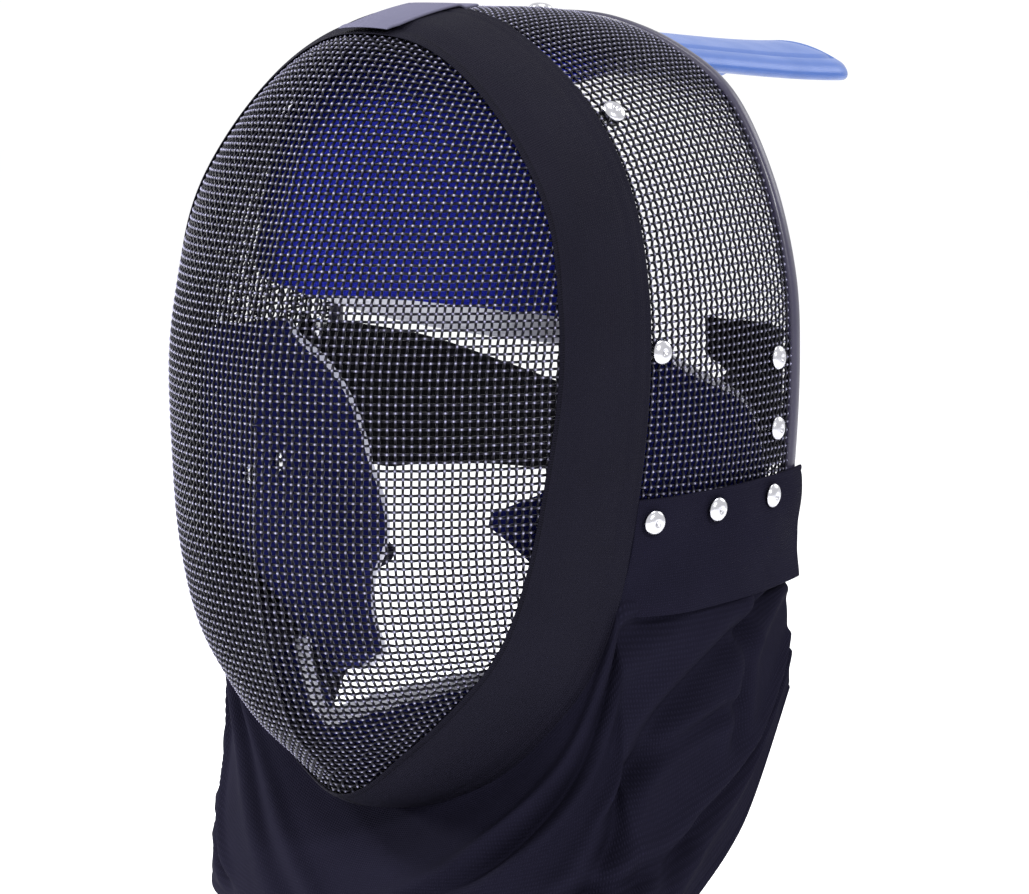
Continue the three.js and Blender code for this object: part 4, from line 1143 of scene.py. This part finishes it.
# The head's profile: shares of its radius and of its height, from the dimple in its middle to its foot
HEAD = np.array([
    [0.0, 0.62], [0.10, 0.66], [0.20, 0.86], [0.28, 0.97], [0.4, 0.96], [0.6, 0.86],
    [0.78, 0.68], [0.9, 0.46], [0.97, 0.22], [1.0, 0.06], [0.97, 0.0], [0.3, 0.0],
])


def build_rivets():
    """Domed heads with a dimple, and washers inside, at the places of the plain rivets."""
    metal = finish("rivet_nickel", "grain", (.62, .62, .65), (.40, .40, .44), 900, 0.02, 0.2, metallic=1.0)
    sides, shank, washer, plate = RIVET["sides"], RIVET["shank"], RIVET["washer"], RIVET["plate"]
    head_rows = np.stack([HEAD[:, 0] * RIVET["head"], HEAD[:, 1] * RIVET["height"]], -1)
    angle = 2 * np.pi * np.arange(sides) / sides
    for node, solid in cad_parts.items():
        if not node.startswith("rivet_"):
            continue
        axis, grip, head = rivet_axis(np.array([v.co[:] for v in solid.data.vertices]) * 1000)
        inside = [(shank, 0), (shank, -grip), (washer, -grip), (washer, -grip - plate), (0.0, -grip - plate)]
        rows = np.concatenate([head_rows, inside])
        side_a = unit(np.cross(axis, [0.31, 0.77, 0.55]))
        side_b = np.cross(axis, side_a)
        ring = np.cos(angle)[:, None] * side_a + np.sin(angle)[:, None] * side_b
        points = head + rows[:, None, :1] * ring[None] + rows[:, None, 1:] * axis
        index = np.arange(len(rows) * sides).reshape(len(rows), -1)
        uv = np.stack(np.meshgrid(angle * 4, rows[:, 1]), -1).reshape(-1, 2)
        obj = make_mesh(f"{node}_domed", points.reshape(-1, 3) + SEAT, quads(index, True)[:, ::-1], uv)
        dress(obj, "rivet", metal, node)


def rivet_axis(verts):
    """The axis, grip and head centre of a plain rivet, read from its own points."""
    centre = verts.mean(0)
    _, _, ways = np.linalg.svd(verts - centre)
    best = None
    for way in ways:
        place = (verts - centre) @ way
        radius = np.linalg.norm(verts - centre - np.outer(place, way), axis=-1)
        wide = place[radius > RIVET["head"] - 0.05]
        if len(wide) >= 8 and np.ptp(wide) < 0.3:
            best = (way, place, wide.mean())
    way, place, seat = best
    if place.max() - seat > seat - place.min():
        way, place, seat = -way, -place, -seat
    grip = seat - place.min() - RIVET["plate"]
    return way, grip, centre + way * seat


# Camera, lights and floor

CAMERA = {"azimuth": 36.0, "elevation": 7.0, "distance": 1.5, "lens": 144.3, "target": (76.0, 0.0, 0.0)}


# Lamps: place from the target, size and power, in metres and watts
LAMPS = {
    "key": ((-1.1, -1.0, 1.4), 0.4, 46.0),
    "fill": ((1.6, -0.7, 1.0), 0.4, 30.0),
    "left": ((-1.7, -0.5, 0.2), 0.35, 34.0),
    "top": ((0.1, 0.3, 1.6), 0.8, 12.0),
    "rear": ((0.6, 1.5, 0.8), 0.9, 8.0),
}


def build_stage():
    """The floor, the lights, the pale surroundings and the camera."""
    azimuth, elevation = math.radians(CAMERA["azimuth"]), math.radians(CAMERA["elevation"])
    away = Vector((math.sin(azimuth) * math.cos(elevation), -math.cos(azimuth) * math.cos(elevation),
                   math.sin(elevation)))
    target = Vector((np.array(CAMERA["target"]) - SEAT) / 1000)
    data = bpy.data.cameras.new("camera")
    data.lens, data.sensor_width = CAMERA["lens"], 36.0
    camera = add("camera", data)
    camera.location = target + away * CAMERA["distance"]
    camera.rotation_euler = (-away).to_track_quat("-Z", "Y").to_euler()
    bpy.context.scene.camera = camera
    floor_mesh = bpy.data.meshes.new("floor")
    low = CAD_BOX[0][2] - 0.12
    floor_mesh.from_pydata([(-6, -6, low), (6, -6, low), (6, 6, low), (-6, 6, low)], [], [(0, 1, 2, 3)])
    floor = add("floor", floor_mesh)
    pale = bpy.data.materials.new("floor_pale")
    pale.use_nodes = True
    shader = pale.node_tree.nodes["Principled BSDF"]
    shader.inputs["Base Color"].default_value = (0.95, 0.95, 0.97, 1)
    shader.inputs["Roughness"].default_value = 0.9
    floor_mesh.materials.append(pale)
    for name, (place, size, power) in LAMPS.items():
        lamp(name, place, size, power, target)
    world = bpy.data.worlds.new("surroundings")
    world.use_nodes = True
    light = world.node_tree.nodes["Background"]
    light.inputs["Color"].default_value = (1.0, 1.0, 1.0, 1)
    light.inputs["Strength"].default_value = 1.05
    bpy.context.scene.world = world
    bpy.context.scene.view_settings.view_transform = "Standard"


def lamp(name, place, size, power, target):
    """A round lamp that faces the target."""
    data = bpy.data.lights.new(name, "AREA")
    data.shape, data.size, data.energy = "DISK", size, power
    obj = add(name, data)
    obj.location = Vector(place) + target
    obj.rotation_euler = (-Vector(place)).to_track_quat("-Z", "Y").to_euler()


# Operators and panel


class MASK_OT_stage(bpy.types.Operator):
    """Adds the floor, lights, surroundings and camera."""

    bl_idname = "mask.stage"
    bl_label = "Stage"

    def execute(self, context):
        build_stage()
        return {"FINISHED"}


class MASK_OT_front_wires(bpy.types.Operator):
    """Weaves the wire cloth over the face."""

    bl_idname = "mask.front_wires"
    bl_label = "Front wires"

    def execute(self, context):
        build_front_wires()
        return {"FINISHED"}


class MASK_OT_side_wires(bpy.types.Operator):
    """Weaves the wire cloth over the crown and cheeks."""

    bl_idname = "mask.side_wires"
    bl_label = "Side wires"

    def execute(self, context):
        build_side_wires()
        return {"FINISHED"}


class MASK_OT_trim(bpy.types.Operator):
    """Adds the trim and its patch."""

    bl_idname = "mask.trim"
    bl_label = "Trim"

    def execute(self, context):
        build_trim()
        return {"FINISHED"}


class MASK_OT_binding(bpy.types.Operator):
    """Adds the binding round the rear rim."""

    bl_idname = "mask.binding"
    bl_label = "Rim binding"

    def execute(self, context):
        build_binding()
        return {"FINISHED"}


class MASK_OT_yokes(bpy.types.Operator):
    """Adds the cloth bands over the lower edges of the wire cloth."""

    bl_idname = "mask.yokes"
    bl_label = "Yokes"

    def execute(self, context):
        build_yokes()
        return {"FINISHED"}


class MASK_OT_bib(bpy.types.Operator):
    """Adds the folded bib."""

    bl_idname = "mask.bib"
    bl_label = "Bib"

    def execute(self, context):
        build_bib()
        return {"FINISHED"}


class MASK_OT_pads(bpy.types.Operator):
    """Adds the forehead band, cheek pads and chin cup."""

    bl_idname = "mask.pads"
    bl_label = "Pads"

    def execute(self, context):
        build_pads()
        return {"FINISHED"}


class MASK_OT_strap(bpy.types.Operator):
    """Adds the webbing round the back of the head."""

    bl_idname = "mask.strap"
    bl_label = "Back strap"

    def execute(self, context):
        build_strap()
        return {"FINISHED"}


class MASK_OT_tongue(bpy.types.Operator):
    """Adds the padded tongue."""

    bl_idname = "mask.tongue"
    bl_label = "Tongue"

    def execute(self, context):
        build_tongue()
        return {"FINISHED"}


class MASK_OT_rivets(bpy.types.Operator):
    """Adds the domed rivets and their washers."""

    bl_idname = "mask.rivets"
    bl_label = "Rivets"

    def execute(self, context):
        build_rivets()
        return {"FINISHED"}


STEPS = ("stage", "front_wires", "side_wires", "trim", "binding", "yokes", "bib", "pads", "strap", "tongue", "rivets")


class MASK_PT_panel(bpy.types.Panel):
    """Lists the sizes, colours and steps of the mask."""

    bl_label = "Fencing mask"
    bl_idname = "MASK_PT_panel"
    bl_space_type = "VIEW_3D"
    bl_region_type = "UI"
    bl_category = "Mask"

    def draw(self, context):
        for group in (context.scene.mask_sizes, context.scene.mask_colours):
            for name in group.__annotations__:
                self.layout.prop(group, name)
        for step in STEPS:
            self.layout.operator(f"mask.{step}")


CLASSES = (
    MaskSizes, MaskColours, MASK_OT_stage, MASK_OT_front_wires, MASK_OT_side_wires, MASK_OT_trim,
    MASK_OT_binding, MASK_OT_yokes, MASK_OT_bib, MASK_OT_pads, MASK_OT_strap, MASK_OT_tongue,
    MASK_OT_rivets, MASK_PT_panel,
)


def register():
    """Adds the settings, the operators and the panel."""
    for item in CLASSES:
        bpy.utils.register_class(item)
    bpy.types.Scene.mask_sizes = PointerProperty(type=MaskSizes)
    bpy.types.Scene.mask_colours = PointerProperty(type=MaskColours)


def unregister():
    """Takes out what register adds."""
    del bpy.types.Scene.mask_colours
    del bpy.types.Scene.mask_sizes
    for item in reversed(CLASSES):
        bpy.utils.unregister_class(item)


def main():
    """Builds the mask step by step."""
    register()
    for step in STEPS:
        getattr(bpy.ops.mask, step)()


if __name__ == "__main__":
    main()
